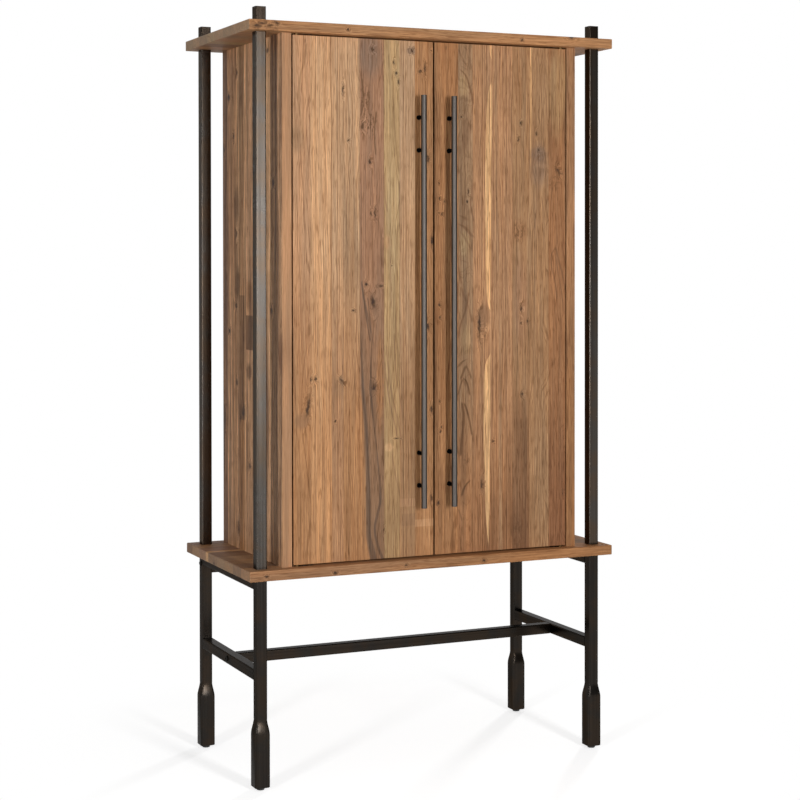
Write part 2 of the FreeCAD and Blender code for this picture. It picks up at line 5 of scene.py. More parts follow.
import bpy
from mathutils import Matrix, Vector


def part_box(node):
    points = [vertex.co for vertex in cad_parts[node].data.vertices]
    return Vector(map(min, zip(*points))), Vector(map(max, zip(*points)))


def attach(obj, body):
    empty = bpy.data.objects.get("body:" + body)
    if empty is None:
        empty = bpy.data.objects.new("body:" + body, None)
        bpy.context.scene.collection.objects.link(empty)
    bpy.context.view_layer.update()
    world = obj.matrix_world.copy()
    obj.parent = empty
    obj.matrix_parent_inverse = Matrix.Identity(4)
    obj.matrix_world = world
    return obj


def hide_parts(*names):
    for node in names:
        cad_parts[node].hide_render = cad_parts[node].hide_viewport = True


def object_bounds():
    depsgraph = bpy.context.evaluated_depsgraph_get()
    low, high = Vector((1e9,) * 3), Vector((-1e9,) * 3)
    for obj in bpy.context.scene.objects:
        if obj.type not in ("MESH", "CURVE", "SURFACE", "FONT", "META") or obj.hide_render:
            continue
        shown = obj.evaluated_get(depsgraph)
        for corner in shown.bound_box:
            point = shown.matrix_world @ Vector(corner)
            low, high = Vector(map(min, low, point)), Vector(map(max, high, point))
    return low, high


bl_info = {
    "name": "Bar cabinet finishes",
    "version": (1, 0, 0),
    "blender": (4, 5, 0),
    "location": "View3D > Sidebar > Cabinet",
    "description": "Stave wood, dark steel and a plain studio for the bar cabinet",
    "category": "Material",
}

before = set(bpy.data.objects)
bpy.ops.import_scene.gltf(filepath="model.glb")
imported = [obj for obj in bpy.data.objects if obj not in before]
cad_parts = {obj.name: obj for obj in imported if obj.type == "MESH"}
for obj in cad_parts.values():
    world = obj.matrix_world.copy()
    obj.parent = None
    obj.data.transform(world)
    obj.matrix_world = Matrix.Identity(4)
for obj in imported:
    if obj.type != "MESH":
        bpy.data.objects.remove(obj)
CAD_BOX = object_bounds()
MM_PER_M = 1000.0
CORNERS = ("front_left", "front_right", "back_left", "back_right")
SIDES = ("left", "right")


def display(red, green, blue):
    """Linear colour of a display colour given from 0 to 255."""
    shares = [value / 255 for value in (red, green, blue)]
    return tuple(s / 12.92 if s <= 0.04045 else ((s + 0.055) / 1.055) ** 2.4 for s in shares)


def colour(name, description, red, green, blue):
    """Colour property whose default is a display colour."""
    return bpy.props.FloatVectorProperty(
        name=name, description=description, subtype="COLOR", size=3, min=0, max=1,
        default=display(red, green, blue))


def number(name, description, default, **limits):
    """Plain number property."""
    return bpy.props.FloatProperty(name=name, description=description, default=default, **limits)


def length(name, description, default):
    """Length property in metres."""
    return bpy.props.FloatProperty(name=name, description=description, default=default, unit="LENGTH")


def spot(name, description, default):
    """Property for a place in metres."""
    return bpy.props.FloatVectorProperty(
        name=name, description=description, size=3, subtype="TRANSLATION", default=default)


class CabinetWood(bpy.types.PropertyGroup):
    """Tones of the staves, and the scale of their grain."""

    honey: colour("Honey", "Lightest staves of the doors", 197, 152, 111)
    straw: colour("Straw", "Light staves toward the floor", 180, 132, 90)
    wheat: colour("Wheat", "Pale greyish tan", 182, 143, 107)
    tan: colour("Tan", "Plain middle tone", 180, 136, 100)
    olive: colour("Olive", "Yellowish grey tan", 172, 140, 100)
    drab: colour("Drab", "Olive toward the floor", 161, 127, 88)
    amber: colour("Amber", "Warm orange brown", 164, 117, 77)
    clay: colour("Clay", "Middle brown", 166, 122, 86)
    fawn: colour("Fawn", "Soft brown", 154, 115, 80)
    mauve: colour("Mauve", "Purplish brown", 153, 113, 85)
    russet: colour("Russet", "Reddish brown", 154, 108, 70)
    ash: colour("Ash", "Weathered greyish brown", 148, 114, 83)
    slate: colour("Slate", "Bluish grey brown", 126, 101, 83)
    chestnut: colour("Chestnut", "Deep warm brown", 147, 102, 67)
    walnut: colour("Walnut", "Dark greyish brown", 132, 98, 71)
    sienna: colour("Sienna", "Dark red brown", 126, 84, 55)
    umber: colour("Umber", "Darkest staves", 118, 82, 55)
    burl: colour("Burl", "Brown of burls and soft knots", 98, 67, 42)
    sapwood: colour("Sapwood", "Pale outer wood", 214, 166, 116)
    vein: colour("Vein", "Dark mineral streaks", 88, 68, 54)
    knot: colour("Knot", "Dark heart of a knot or nail hole", 54, 38, 29)
    end_grain: colour("End grain", "Weathered ends of the staves", 164, 140, 114)
    birch: colour("Birch", "Turned dowels", 205, 172, 126)
    ring_spacing: number("Ring spacing", "Distance between growth rings in mm", 3.0, min=1)
    fibre_width: number("Fibre width", "Width of a fibre streak in mm", 2.8, min=0.2)
    fibre_length: number("Fibre length", "Length of a fibre streak in mm", 170.0, min=1)
    relief: length("Relief", "Depth of the open grain", 0.00025)


class CabinetSteel(bpy.types.PropertyGroup):
    """Finishes of the frame, handles and fittings."""

    post_warm: colour("Post, warm", "Brown side of the posts' dark finish", 78, 67, 57)
    post_cool: colour("Post, cool", "Grey side of the posts' dark finish", 70, 66, 62)
    tip: colour("Tip", "Posts' ends above the top panel", 56, 48, 41)
    # Painted shade: the lower frame is the same dark steel as the posts; its darker tones stand in for the
    # dim floor that legs, feet and rails mirror
    leg_shaded_warm: colour("Leg, warm", "Brown side of the legs' dark finish", 51, 43, 36)
    leg_shaded_cool: colour("Leg, cool", "Grey side of the legs' dark finish", 43, 40, 37)
    frame_roughness: number("Frame roughness", "Spread of the frame's highlights", 0.26, min=0, max=1)
    handle: colour("Handle", "Gunmetal of the bar handles", 86, 81, 77)
    handle_roughness: number("Handle roughness", "Spread of the handles' highlights", 0.45, min=0, max=1)
    black: colour("Black steel", "Blackened bolts and standoffs", 40, 38, 36)
    bright: colour("Bright steel", "Plated screws and strikes", 190, 188, 184)
    brass: colour("Brass", "Aged brass of the pivot hinges", 104, 84, 54)
    edge_tint: number("Edge tint", "How much of the frame's mirror stays at a glance", 0.45, min=0)
    handle_edge_tint: number("Handle edge tint", "The same for the handles", 0.2, min=0)
    handle_texture: number("Handle texture", "Strength of the brushing on the bars", 0.2, min=0, max=1)
    foot_shoulder: length("Foot shoulder", "Height where a foot starts to narrow", 0.134)
    foot_neck: length("Foot neck", "Height where a foot meets its leg", 0.173)
    foot_corner: length("Foot corner", "Rounding of a foot's upright corners", 0.0055)
    foot_lip: length("Foot lip", "Rounding of a foot's lower rim", 0.0012)


class CabinetPlastic(bpy.types.PropertyGroup):
    """Moulded plastic of the glides and catches."""

    glide: colour("Glide", "Black floor glides", 30, 29, 28)
    catch: colour("Catch", "Brown catch housings", 92, 66, 46)


class CabinetStudio(bpy.types.PropertyGroup):
    """Camera, lamps, room and floor."""

    lens: number("Lens", "Focal length in mm on a 36 mm sensor", 81.25, min=1)
    shift: number("Shift", "Vertical shift of the lens", -0.1472)
    camera_place: spot("Camera", "Where the camera stands", (-1.937, -4.315, 1.280))
    camera_turn: bpy.props.FloatVectorProperty(
        name="Camera turn", description="The camera's angles", size=3, subtype="EULER",
        default=(math.radians(89.298), math.radians(0.054), math.radians(-24.216)))
    key_place: spot("Key lamp", "Soft lamp in front", (0.36, -4.7, 1.47))
    key_power: number("Key power", "Watts of the front lamp", 112.0, min=0)
    side_place: spot("Side lamp", "Soft lamp on the left", (-3.9, -3.15, 1.25))
    side_power: number("Side power", "Watts of the left lamp", 79.0, min=0)
    back_place: spot("Back lamp", "Soft lamp behind on the right", (3.6, 3.5, 1.6))
    back_power: number("Back power", "Watts of the lamp behind", 85.0, min=0)
    lamp_width: length("Lamp width", "Width of a lamp's face", 0.5)
    lamp_height: length("Lamp height", "Height of a lamp's face", 1.6)
    room: number("Room", "Level of the light from all round", 0.18, min=0)
    floor_reach: length("Floor reach", "Half the side of the floor", 30.0)
    shadow_share: number("Shadow share", "How much of the lamps' light the floor shows", 0.8, min=0, max=1)
    floor_glow: number("Floor glow", "Level that brings the lit floor up to white", 0.655, min=0)
    shadow_near: length("Shadow near", "Distance from the middle where shadows start to fade", 0.5)
    shadow_far: length("Shadow far", "Distance from the middle where the floor is plain white", 1.05)


# Shader maths

class Value:
    """Output of a node. Python's operators on numbers add Math nodes."""

    def __init__(self, tree, socket):
        self.tree = tree
        self.socket = socket

    def output(self, name):
        """Another output of the same node."""
        return Value(self.tree, self.socket.node.outputs[name])

    def math(self, operation, first, second):
        return self.tree.node("ShaderNodeMath", {"operation": operation}, {0: first, 1: second})

    def __add__(self, other):
        return self.math("ADD", self, other)

    def __radd__(self, other):
        return self.math("ADD", other, self)

    def __sub__(self, other):
        return self.math("SUBTRACT", self, other)

    def __rsub__(self, other):
        return self.math("SUBTRACT", other, self)

    def __mul__(self, other):
        return self.math("MULTIPLY", self, other)

    def __rmul__(self, other):
        return self.math("MULTIPLY", other, self)

    def __truediv__(self, other):
        return self.math("DIVIDE", self, other)

    def __pow__(self, other):
        return self.math("POWER", self, other)

    def __abs__(self):
        return self.math("ABSOLUTE", self, 0.0)


class Tree:
    """Adds nodes to one node tree."""

    def __init__(self, node_tree):
        self.node_tree = node_tree
        node_tree.nodes.clear()

    def node(self, kind, settings=None, inputs=None, output=0):
        """Adds a node, sets it up, feeds its sockets and gives one of its outputs."""
        node = self.node_tree.nodes.new(kind)
        for name, value in (settings or {}).items():
            if name == "stops":
                set_stops(node.color_ramp, value)
            elif name == "curve":
                set_curve(node.mapping, value)
            else:
                setattr(node, name, value)
        for key, value in (inputs or {}).items():
            if isinstance(value, Value):
                self.node_tree.links.new(value.socket, node.inputs[key])
            else:
                node.inputs[key].default_value = value
        return Value(self, node.outputs[output] if node.outputs else None)

    def vector(self, operation, first, second):
        """Vector Math on two vectors."""
        return self.node("ShaderNodeVectorMath", {"operation": operation}, {0: first, 1: second})

    def scaled(self, vector, factor):
        """Vector or colour times a number."""
        return self.node("ShaderNodeVectorMath", {"operation": "SCALE"}, {0: vector, "Scale": factor})

    def combined(self, x, y, z):
        """Vector of three numbers."""
        return self.node("ShaderNodeCombineXYZ", None, {"X": x, "Y": y, "Z": z})

    def mix(self, factor, first, second):
        """Colour between two colours."""
        colours = {0: factor, 6: opaque(first), 7: opaque(second)}
        return self.node("ShaderNodeMix", {"data_type": "RGBA"}, colours, output=2)

    def smooth(self, value, zero_at, one_at):
        """Smooth step from 0 to 1 between two values, in either order."""
        limits = {"Value": value, "From Min": zero_at, "From Max": one_at}
        return self.node("ShaderNodeMapRange", {"interpolation_type": "SMOOTHSTEP"}, limits)

    def between(self, value, low, high, outside, inside):
        """1 between two values, fading outside and inside each of them."""
        past_low = self.smooth(value, low - outside, low + inside)
        return past_low * self.smooth(value, high + outside, high - inside)

    def least(self, first, second):
        """Smaller of two numbers."""
        return self.node("ShaderNodeMath", {"operation": "MINIMUM"}, {0: first, 1: second})

    def noise(self, vector, scale=1.0, detail=2.0, roughness=0.5):
        """Noise about a half, in units of the vector."""
        inputs = {"Vector": vector, "Scale": scale, "Detail": detail, "Roughness": roughness}
        return self.node("ShaderNodeTexNoise", None, inputs)


def opaque(value):
    """Colour for a colour socket, with its alpha."""
    return value if isinstance(value, Value) else (*value, 1.0)


def set_stops(ramp, stops):
    """Sets a ramp to stepped stops of position and colour."""
    ramp.interpolation = "CONSTANT"
    while len(ramp.elements) < len(stops):
        ramp.elements.new(1.0)
    for element, (position, value) in zip(ramp.elements, stops):
        element.position = position
        element.color = (*value, 1.0)


def set_curve(mapping, points):
    """Sets a number curve to points in rising order."""
    curve = mapping.curves[0]
    while len(curve.points) < len(points):
        curve.points.new(1.0, 1.0)
    for handle, point in zip(curve.points, points):
        handle.location = point
        handle.handle_type = "AUTO_CLAMPED"
    mapping.update()


def finish_of(name):
    """New material and the helper for its nodes."""
    material = bpy.data.materials.new(name)
    material.use_nodes = True
    return material, Tree(material.node_tree)


def surface(tree, inputs):
    """Ends a material in one physically based shader."""
    shader = tree.node("ShaderNodeBsdfPrincipled", None, inputs)
    tree.node("ShaderNodeOutputMaterial", None, {"Surface": shader})


def bumped(tree, height, distance, strength):
    """Normal of a surface with a fine relief."""
    return tree.node("ShaderNodeBump", None, {"Strength": strength, "Distance": distance, "Height": height})


def dress(material, *nodes):
    """Gives a material to CAD nodes."""
    for name in nodes:
        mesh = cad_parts[name].data
        mesh.materials.clear()
        mesh.materials.append(material)


# Stave wood. Places on a board are in mm: first across from its low edge, then along from its low end.

# Figure of a stave: the heart's offset across and its depth under the face, how far the heart wanders,
# all as shares of FIGURE_REACH, and the contrast of its rings
FIGURE_REACH = 100.0
FIGURES = {
    "straight": (0.75, 0.45, 0.05, 0.80),
    "wavy": (0.35, 0.35, 0.30, 0.65),
    "arched": (0.06, 0.40, 0.75, 0.35),
    "sweeping": (0.42, 0.30, 0.80, 0.60),
}
RING_WAVER = 4.0                 # mm that every ring wavers, and mm more where the heart wanders most
HEART_WAVER = 30.0
RING_NOISE = {"Scale": 1.0, "Detail": 2.0, "Roughness": 0.6}
LATE_WOOD = (0.5, 0.68)          # noise between which a ring turns into dark late wood
SEED_STEP = 0.618                # sets the grain of neighbouring staves apart
SEED_REACH = 900.0
SEAM_FADE = (0.8, 0.1)           # mm from a stave's edge between which its seam sets in

# Layers of the grain: width and length of a cell in mm, then the noise's detail and roughness
LAYERS = {
    "sway": (400.0, 420.0, 1.0, 0.5),
    "ripple": (34.0, 170.0, 2.0, 0.5),
    "mottle": (5.5, 15.0, 2.0, 0.65),
    "streak": (3.4, 330.0, 2.0, 0.5),
    "drift": (15.0, 480.0, 3.0, 0.6),
    "cloud": (60.0, 190.0, 2.0, 0.5),
    "dash": (2.7, 21.0, 1.5, 0.6),
    "pore": (2.2, 38.0, 1.5, 0.5),
    "ridge": (1.8, 60.0, 2.0, 0.5),
}
FIBRE_NOISE = (1.5, 0.6)         # detail and roughness of the fibres, whose sizes are settings
MEAN = 0.5                       # what a noise swings about
STREAK_FADE = (0.54, 0.74)       # noise between which streaks and pores set in
PORE_FADE = (0.54, 0.68)
SWAY_BEND = 22.0                 # mm that the grain bends with its sway, with its ripple and at knots
RIPPLE_BEND = 7.0
KNOT_BEND = 8.0
KNOT_RING_BEND = 14.0

# Light and dark: the wood's level where a layer is 0, and what a full layer adds
LEVELS = {
    "fibre": (0.38, 1.24),
    "dash": (0.84, 0.32),
    "streak": (1.06, -0.3),
    "late": (1.05, -0.42),
    "pore": (1.05, -0.34),
    "cloud": (0.82, 0.36),
    "seam": (1.0, -0.2),
}
SHADE_POWERS = (0.88, 1.03, 1.18)        # red, green and blue: dark grain is browner, light grain paler
WARM_DRIFT = (1.05, 0.99, 0.92)
COOL_DRIFT = (0.96, 0.995, 1.03)
DRIFT_FADE = (0.3, 0.7)

# Marks of a plain board. Fade: shares of the length between which the staves change tone. Lively and
# boldness: strength of the broad and of all changes of level. Rim: strength of the painted shade on the
# narrow edges, dark as if the gaps beside them lay in shadow. End grain: strength on the ends. Calm front:
# the low edge has little grain. The others list single marks.
PLAIN_MARKS = {
    "fade": (0.2, 0.7),
    "lively": 0.45,
    "boldness": 1.0,
    "rim": 0.0,
    "end_grain": 0.0,
    "calm_front": False,
    "knots": (),
    "burls": (),
    "patches": (),
    "blocks": (),
    "bands": (),
    "lines": (),
}
THROUGH = 10000.0                # half depth of a mark that goes through its board
FAR = 100.0                      # distance from a knot where a board has none
WANDER = 9.0                     # mm that the outlines of marks wander
WANDER_NOISE = {"Scale": 0.11, "Detail": 2.0}
PATCH_FADE = (1.25, 0.5)         # shares of its ellipse between which a patch sets in
BLOCK_EDGE = 0.5                 # softness in mm of a block's edges across and along the board
BLOCK_END = 1.5
BAND_WANDER = 5.0                # mm that bands and lines wander with the ripple
LINE_WANDER = 4.0
LINE_CORE = 0.2                  # share of a line's half width that is solid
LINE_ENDS = (3.0, 6.0)           # mm that a line fades past its ends and before them
PATCH_FIBRES = (1.0, 0.5)        # how fibres break up a mark: what they add to what is there without them
BAND_FIBRES = (2.2, -0.1)
LINE_FIBRES = (1.0, 0.4)
END_FADE = (1.5, 0.5)            # mm from the ends, and from the narrow edges, where their tones set in
# Painted shade: the narrow edges of the doors darken as if the gaps beside them lay in shadow
GAP_SHADE_FADE = (0.5, 0.1)
CALM_FADE = (-1.0, 2.0)          # mm from the low edge between which the grain sets in

# Knots: shares of a knot's ellipse, or noise, between which each effect sets in, and its strength
KNOT_SWELL = (3.4, 0.8)
KNOT_RIM = (2.4, 0.9)
KNOT_RIM_STRENGTH = 0.55
KNOT_RIM_SHADE = 0.62
KNOT_HEART = (1.2, 0.5)
KNOT_HEART_STRENGTH = 0.92
HEART_MOTTLE = (0.4, 0.62)
BURL_FADE = (1.3, 0.3)
BURL_MOTTLE = (0.47, 0.62)
PIN_SPACING = (42.0, 150.0)      # mm between pin knots across and along
PIN_SIZE = (0.055, 0.02)
PIN_CHOICE = (0.68, 0.72)
PIN_STRENGTH = 0.7

# Surface of the wood
WOOD_ROUGHNESS = 0.5
FIBRE_ROUGHNESS = 0.2
PORE_ROUGHNESS = 0.12
WOOD_SPECULAR = 0.2
SEAM_RELIEF = 0.8
RELIEF_STRENGTH = 0.5


class Board:
    """Places on one CAD board, as values in mm."""

    def __init__(self, tree, node, along, across):
        low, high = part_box(node)
        place = tree.node("ShaderNodeTexCoord", output="Object")
        offset = tree.scaled(tree.vector("SUBTRACT", place, low), MM_PER_M)
        parts = tree.node("ShaderNodeSeparateXYZ", None, {0: offset})
        depth = next(axis for axis in "XYZ" if axis not in (along, across))
        spans = dict(zip("XYZ", (high - low) * MM_PER_M))
        self.tree = tree
        self.along = parts.output(along)
        self.across = parts.output(across)
        self.depth = parts.output(depth)
        self.length = spans[along]
        self.width = spans[across]
        self.solid = tree.combined(self.across, self.along, self.depth)

    def grain(self, across, width, length, shift):
        """Vector for noise stretched along the grain."""
        return self.tree.combined(across / width + shift, self.along / length, self.depth / width)

    def ellipse(self, solid, across, along, half_width, half_length, tilt=0.0, depth=0.0,
                half_depth=THROUGH):
        """Distance from a place, where 1 is an ellipse about it."""
        local = self.tree.node("ShaderNodeMapping", {"vector_type": "TEXTURE"}, {
            "Vector": solid,
            "Location": (across, along, depth),
            "Rotation": (0.0, 0.0, math.radians(tilt)),
            "Scale": (half_width, half_length, half_depth),
        })
        return self.tree.node("ShaderNodeVectorMath", {"operation": "LENGTH"}, {0: local}, output="Value")

    def line(self, points):
        """Place across of a line that runs along the board through points of along and across."""
        shares = [(along / self.length, across / self.width) for along, across in points]
        along_share = self.along / self.length
        curve = self.tree.node("ShaderNodeFloatCurve", {"curve": shares}, {"Value": along_share})
        return curve * self.width

    def steps(self, staves, values):
        """Colour that holds one value for each stave."""
        total = sum(stave[0] for stave in staves)
        starts = [sum(stave[0] for stave in staves[:index]) / total for index in range(len(staves))]
        stops = {"stops": list(zip(starts, values))}
        return self.tree.node("ShaderNodeValToRGB", stops, {0: self.across / self.width})

    def stepped_numbers(self, staves, values):
        """Three numbers for each stave, as the outputs Red, Green and Blue."""
        return self.tree.node("ShaderNodeSeparateColor", None, {0: self.steps(staves, values)})

    def rim(self, value, span, start, full):
        """1 at both ends of a span, setting in between two distances from them."""
        return self.tree.smooth(abs(value - span / 2), span / 2 - start, span / 2 - full)


class Grain:
    """Layers of the grain of one board, as values."""

    def __init__(self, board, staves, knots, wood):
        tree = board.tree
        self.board = board
        self.place_staves(staves)
        self.place_knots(knots)
        self.sway = self.layer("sway", board.across) - MEAN
        self.ripple = self.layer("ripple", board.across) - MEAN
        bend = self.sway * SWAY_BEND + self.ripple * RIPPLE_BEND + self.swell * KNOT_BEND
        self.bent = board.across + bend
        fibres = board.grain(self.bent, wood.fibre_width, wood.fibre_length, self.shift)
        detail, roughness = FIBRE_NOISE
        self.fibre = tree.noise(fibres, detail=detail, roughness=roughness)
        self.mottle = self.layer("mottle", self.bent)
        self.drift = self.layer("drift", self.bent)
        self.cloud = self.layer("cloud", self.bent)
        self.dash = self.layer("dash", self.bent)
        self.streak = tree.smooth(self.layer("streak", self.bent), *STREAK_FADE)
        self.pore = tree.smooth(self.layer("pore", self.bent), *PORE_FADE)
        self.ridge = self.layer("ridge", board.across)
        self.late = self.growth_rings(staves, wood)
        self.pin = self.pin_knots()

    def place_staves(self, staves):
        """Finds each stave's middle, its seams and an offset that sets its grain apart."""
        board = self.board
        total = sum(stave[0] for stave in staves)
        places = []
        for index, stave in enumerate(staves):
            half = stave[0] / 2
            middle = sum(other[0] for other in staves[:index]) + half
            places.append((middle / total, half / total, (index + 1) * SEED_STEP % 1))
        place = board.stepped_numbers(staves, places)
        self.middle = place.output("Red") * board.width
        reach = place.output("Green") * board.width
        self.seam = board.tree.smooth(reach - abs(board.across - self.middle), *SEAM_FADE)
        self.shift = place.output("Blue") * SEED_REACH

    def place_knots(self, knots):
        """Finds the distance from the nearest knot, on places that wander a little."""
        board = self.board
        tree = board.tree
        inputs = {"Vector": board.solid, **WANDER_NOISE}
        noise = tree.node("ShaderNodeTexNoise", None, inputs, output="Color")
        swing = tree.scaled(tree.vector("SUBTRACT", noise, (MEAN,) * 3), WANDER)
        self.loose = tree.vector("ADD", board.solid, swing)
        self.nearest = tree.node("ShaderNodeValue") + FAR
        for knot in knots:
            self.nearest = tree.least(self.nearest, board.ellipse(self.loose, *knot))
        self.swell = tree.smooth(self.nearest, *KNOT_SWELL)

    def layer(self, name, across):
        """Noise of one layer, stretched along the grain."""
        width, length, detail, roughness = LAYERS[name]
        vector = self.board.grain(across, width, length, self.shift)
        return self.board.tree.noise(vector, detail=detail, roughness=roughness)

    def growth_rings(self, staves, wood):
        """Dark late wood of rings about a heart that lies behind the face and wanders along the stave."""
        board = self.board
        figures = [FIGURES[stave[3]] for stave in staves]
        figure = board.stepped_numbers(staves, [shares[:3] for shares in figures])
        contrast = board.stepped_numbers(staves, [shares[3:] * 3 for shares in figures]).output("Red")
        wander = figure.output("Blue")
        aside = board.across - self.middle - figure.output("Red") * FIGURE_REACH
        deep = board.depth + figure.output("Green") * FIGURE_REACH + self.sway * wander * (2 * FIGURE_REACH)
        waver = self.ripple * (wander * HEART_WAVER + RING_WAVER)
        radius = (aside * aside + deep * deep) ** 0.5 + waver + self.swell * KNOT_RING_BEND
        inputs = {"W": radius / wood.ring_spacing + self.shift, **RING_NOISE}
        rings = board.tree.node("ShaderNodeTexNoise", {"noise_dimensions": "1D"}, inputs)
        return board.tree.smooth(rings, *LATE_WOOD) * contrast

    def pin_knots(self):
        """Small scattered knots."""
        tree = self.board.tree
        spread = self.board.grain(self.bent, *PIN_SPACING, self.shift)
        cell = tree.node("ShaderNodeTexVoronoi", None, {"Vector": spread, "Scale": 1.0})
        chosen = tree.node("ShaderNodeSeparateColor", None, {0: cell.output("Color")}, output="Red")
        return tree.smooth(cell, *PIN_SIZE) * tree.smooth(chosen, *PIN_CHOICE)

    def broken(self, added, plain):
        """Strength of a mark that fibres break up."""
        return self.fibre * added + plain


def stave_tone(board, staves, fade, wood):
    """Base tone of each stave, fading from its lower to its upper tone between two shares of the length."""
    upper = board.steps(staves, [tuple(getattr(wood, stave[1])) for stave in staves])
    lower = board.steps(staves, [tuple(getattr(wood, stave[2])) for stave in staves])
    return board.tree.mix(board.tree.smooth(board.along / board.length, *fade), lower, upper)


def marked_tone(grain, tone, marks, wood):
    """Tone with soft patches, square blocks, bands between two lines along the board, and single lines."""
    board = grain.board
    tree = board.tree
    for patch_tone, strength, *ellipse in marks["patches"]:
        mask = tree.smooth(board.ellipse(grain.loose, *ellipse), *PATCH_FADE) * grain.broken(*PATCH_FIBRES)
        tone = tree.mix(mask * strength, tone, getattr(wood, patch_tone))
    for block_tone, strength, left, right, low, high in marks["blocks"]:
        mask = tree.between(board.across, left, right, BLOCK_EDGE, BLOCK_EDGE)
        mask = mask * tree.between(board.along, low, high, BLOCK_END, BLOCK_END)
        tone = tree.mix(mask * strength, tone, getattr(wood, block_tone))
    for band_tone, strength, softness, left, right in marks["bands"]:
        wander = grain.ripple * BAND_WANDER
        mask = tree.smooth(board.across - board.line(left) + wander, 0.0, softness)
        mask = mask * tree.smooth(board.line(right) - board.across + wander, 0.0, softness)
        tone = tree.mix(mask * grain.broken(*BAND_FIBRES) * strength, tone, getattr(wood, band_tone))
    for line_tone, strength, half_width, points in marks["lines"]:
        aside = abs(board.across - board.line(points) + grain.ripple * LINE_WANDER)
        mask = tree.smooth(aside, half_width, LINE_CORE * half_width)
        mask = mask * tree.between(board.along, points[0][0], points[-1][0], *LINE_ENDS)
        tone = tree.mix(mask * grain.broken(*LINE_FIBRES) * strength, tone, getattr(wood, line_tone))
    if marks["end_grain"]:
        mask = board.rim(board.along, board.length, *END_FADE)
        tone = tree.mix(mask * marks["end_grain"], tone, wood.end_grain)
    # Painted shade: the narrow edges take the dark knot tone, as if the gaps beside them lay in shadow
    if marks["rim"]:
        mask = board.rim(board.across, board.width, *GAP_SHADE_FADE)
        tone = tree.mix(mask * marks["rim"], tone, wood.knot)
    return tone


def shaded_tone(grain, tone, marks):
    """Tone that the layers of the grain make lighter or darker, and warmer or cooler."""
    tree = grain.board.tree
    drift = tree.mix(tree.smooth(grain.drift, *DRIFT_FADE), COOL_DRIFT, WARM_DRIFT)
    level = 1 - marks["lively"] / 2 + grain.drift * marks["lively"]
    for layer, (plain, added) in LEVELS.items():
        level = level * (plain + getattr(grain, layer) * added)
    if marks["calm_front"]:
        level = 1 + (level - 1) * tree.smooth(grain.board.across, *CALM_FADE)
    shade = tree.combined(*(level ** (power * marks["boldness"]) for power in SHADE_POWERS))
    return tree.vector("MULTIPLY", tree.vector("MULTIPLY", tone, drift), shade)


def knotted_tone(grain, tone, burls, wood):
    """Tone with speckled burls, dark knots and pin knots."""
    board = grain.board
    tree = board.tree
    for strength, *ellipse in burls:
        mask = tree.smooth(board.ellipse(grain.loose, *ellipse), *BURL_FADE)
        mask = mask * tree.smooth(grain.mottle, *BURL_MOTTLE)
        tone = tree.mix(mask * strength, tone, wood.burl)
    rim = tree.smooth(grain.nearest, *KNOT_RIM) * KNOT_RIM_STRENGTH
    tone = tree.mix(rim, tone, tree.scaled(tone, KNOT_RIM_SHADE))
    heart = tree.mix(tree.smooth(grain.mottle, *HEART_MOTTLE), wood.knot, wood.burl)
    tone = tree.mix(tree.smooth(grain.nearest, *KNOT_HEART) * KNOT_HEART_STRENGTH, tone, heart)
    return tree.mix(grain.pin * PIN_STRENGTH, tone, wood.burl)


def dress_board(node, along, across, staves, marks=PLAIN_MARKS):
    """Gives a board its own wood: staves side by side, each with its own tone, figure and marks."""
    wood = bpy.context.scene.cabinet_wood
    material, tree = finish_of(node.replace("_panel", "") + "_wood")
    board = Board(tree, node, along, across)
    marks = {**PLAIN_MARKS, **marks}
    grain = Grain(board, staves, marks["knots"], wood)
    tone = stave_tone(board, staves, marks["fade"], wood)
    tone = marked_tone(grain, tone, marks, wood)
    tone = shaded_tone(grain, tone, marks)
    tone = knotted_tone(grain, tone, marks["burls"], wood)
    surface(tree, {
        "Base Color": tone,
        "Roughness": WOOD_ROUGHNESS + grain.fibre * FIBRE_ROUGHNESS + grain.pore * PORE_ROUGHNESS,
        "Specular IOR Level": WOOD_SPECULAR,
        "Normal": bumped(tree, grain.ridge - grain.seam * SEAM_RELIEF, wood.relief, RELIEF_STRENGTH),
    })
    dress(material, node)


# Boards. A stave: width, upper and lower tone, figure. A knot: across, along, half width and half
# length, then tilt, depth and half depth where they matter. A burl: strength and ellipse. A patch:
# tone, strength and ellipse. A block: tone, strength, left, right, low and high. A band: tone,
# strength, softness, left and right line. A line: tone, strength, half width, points along and across.

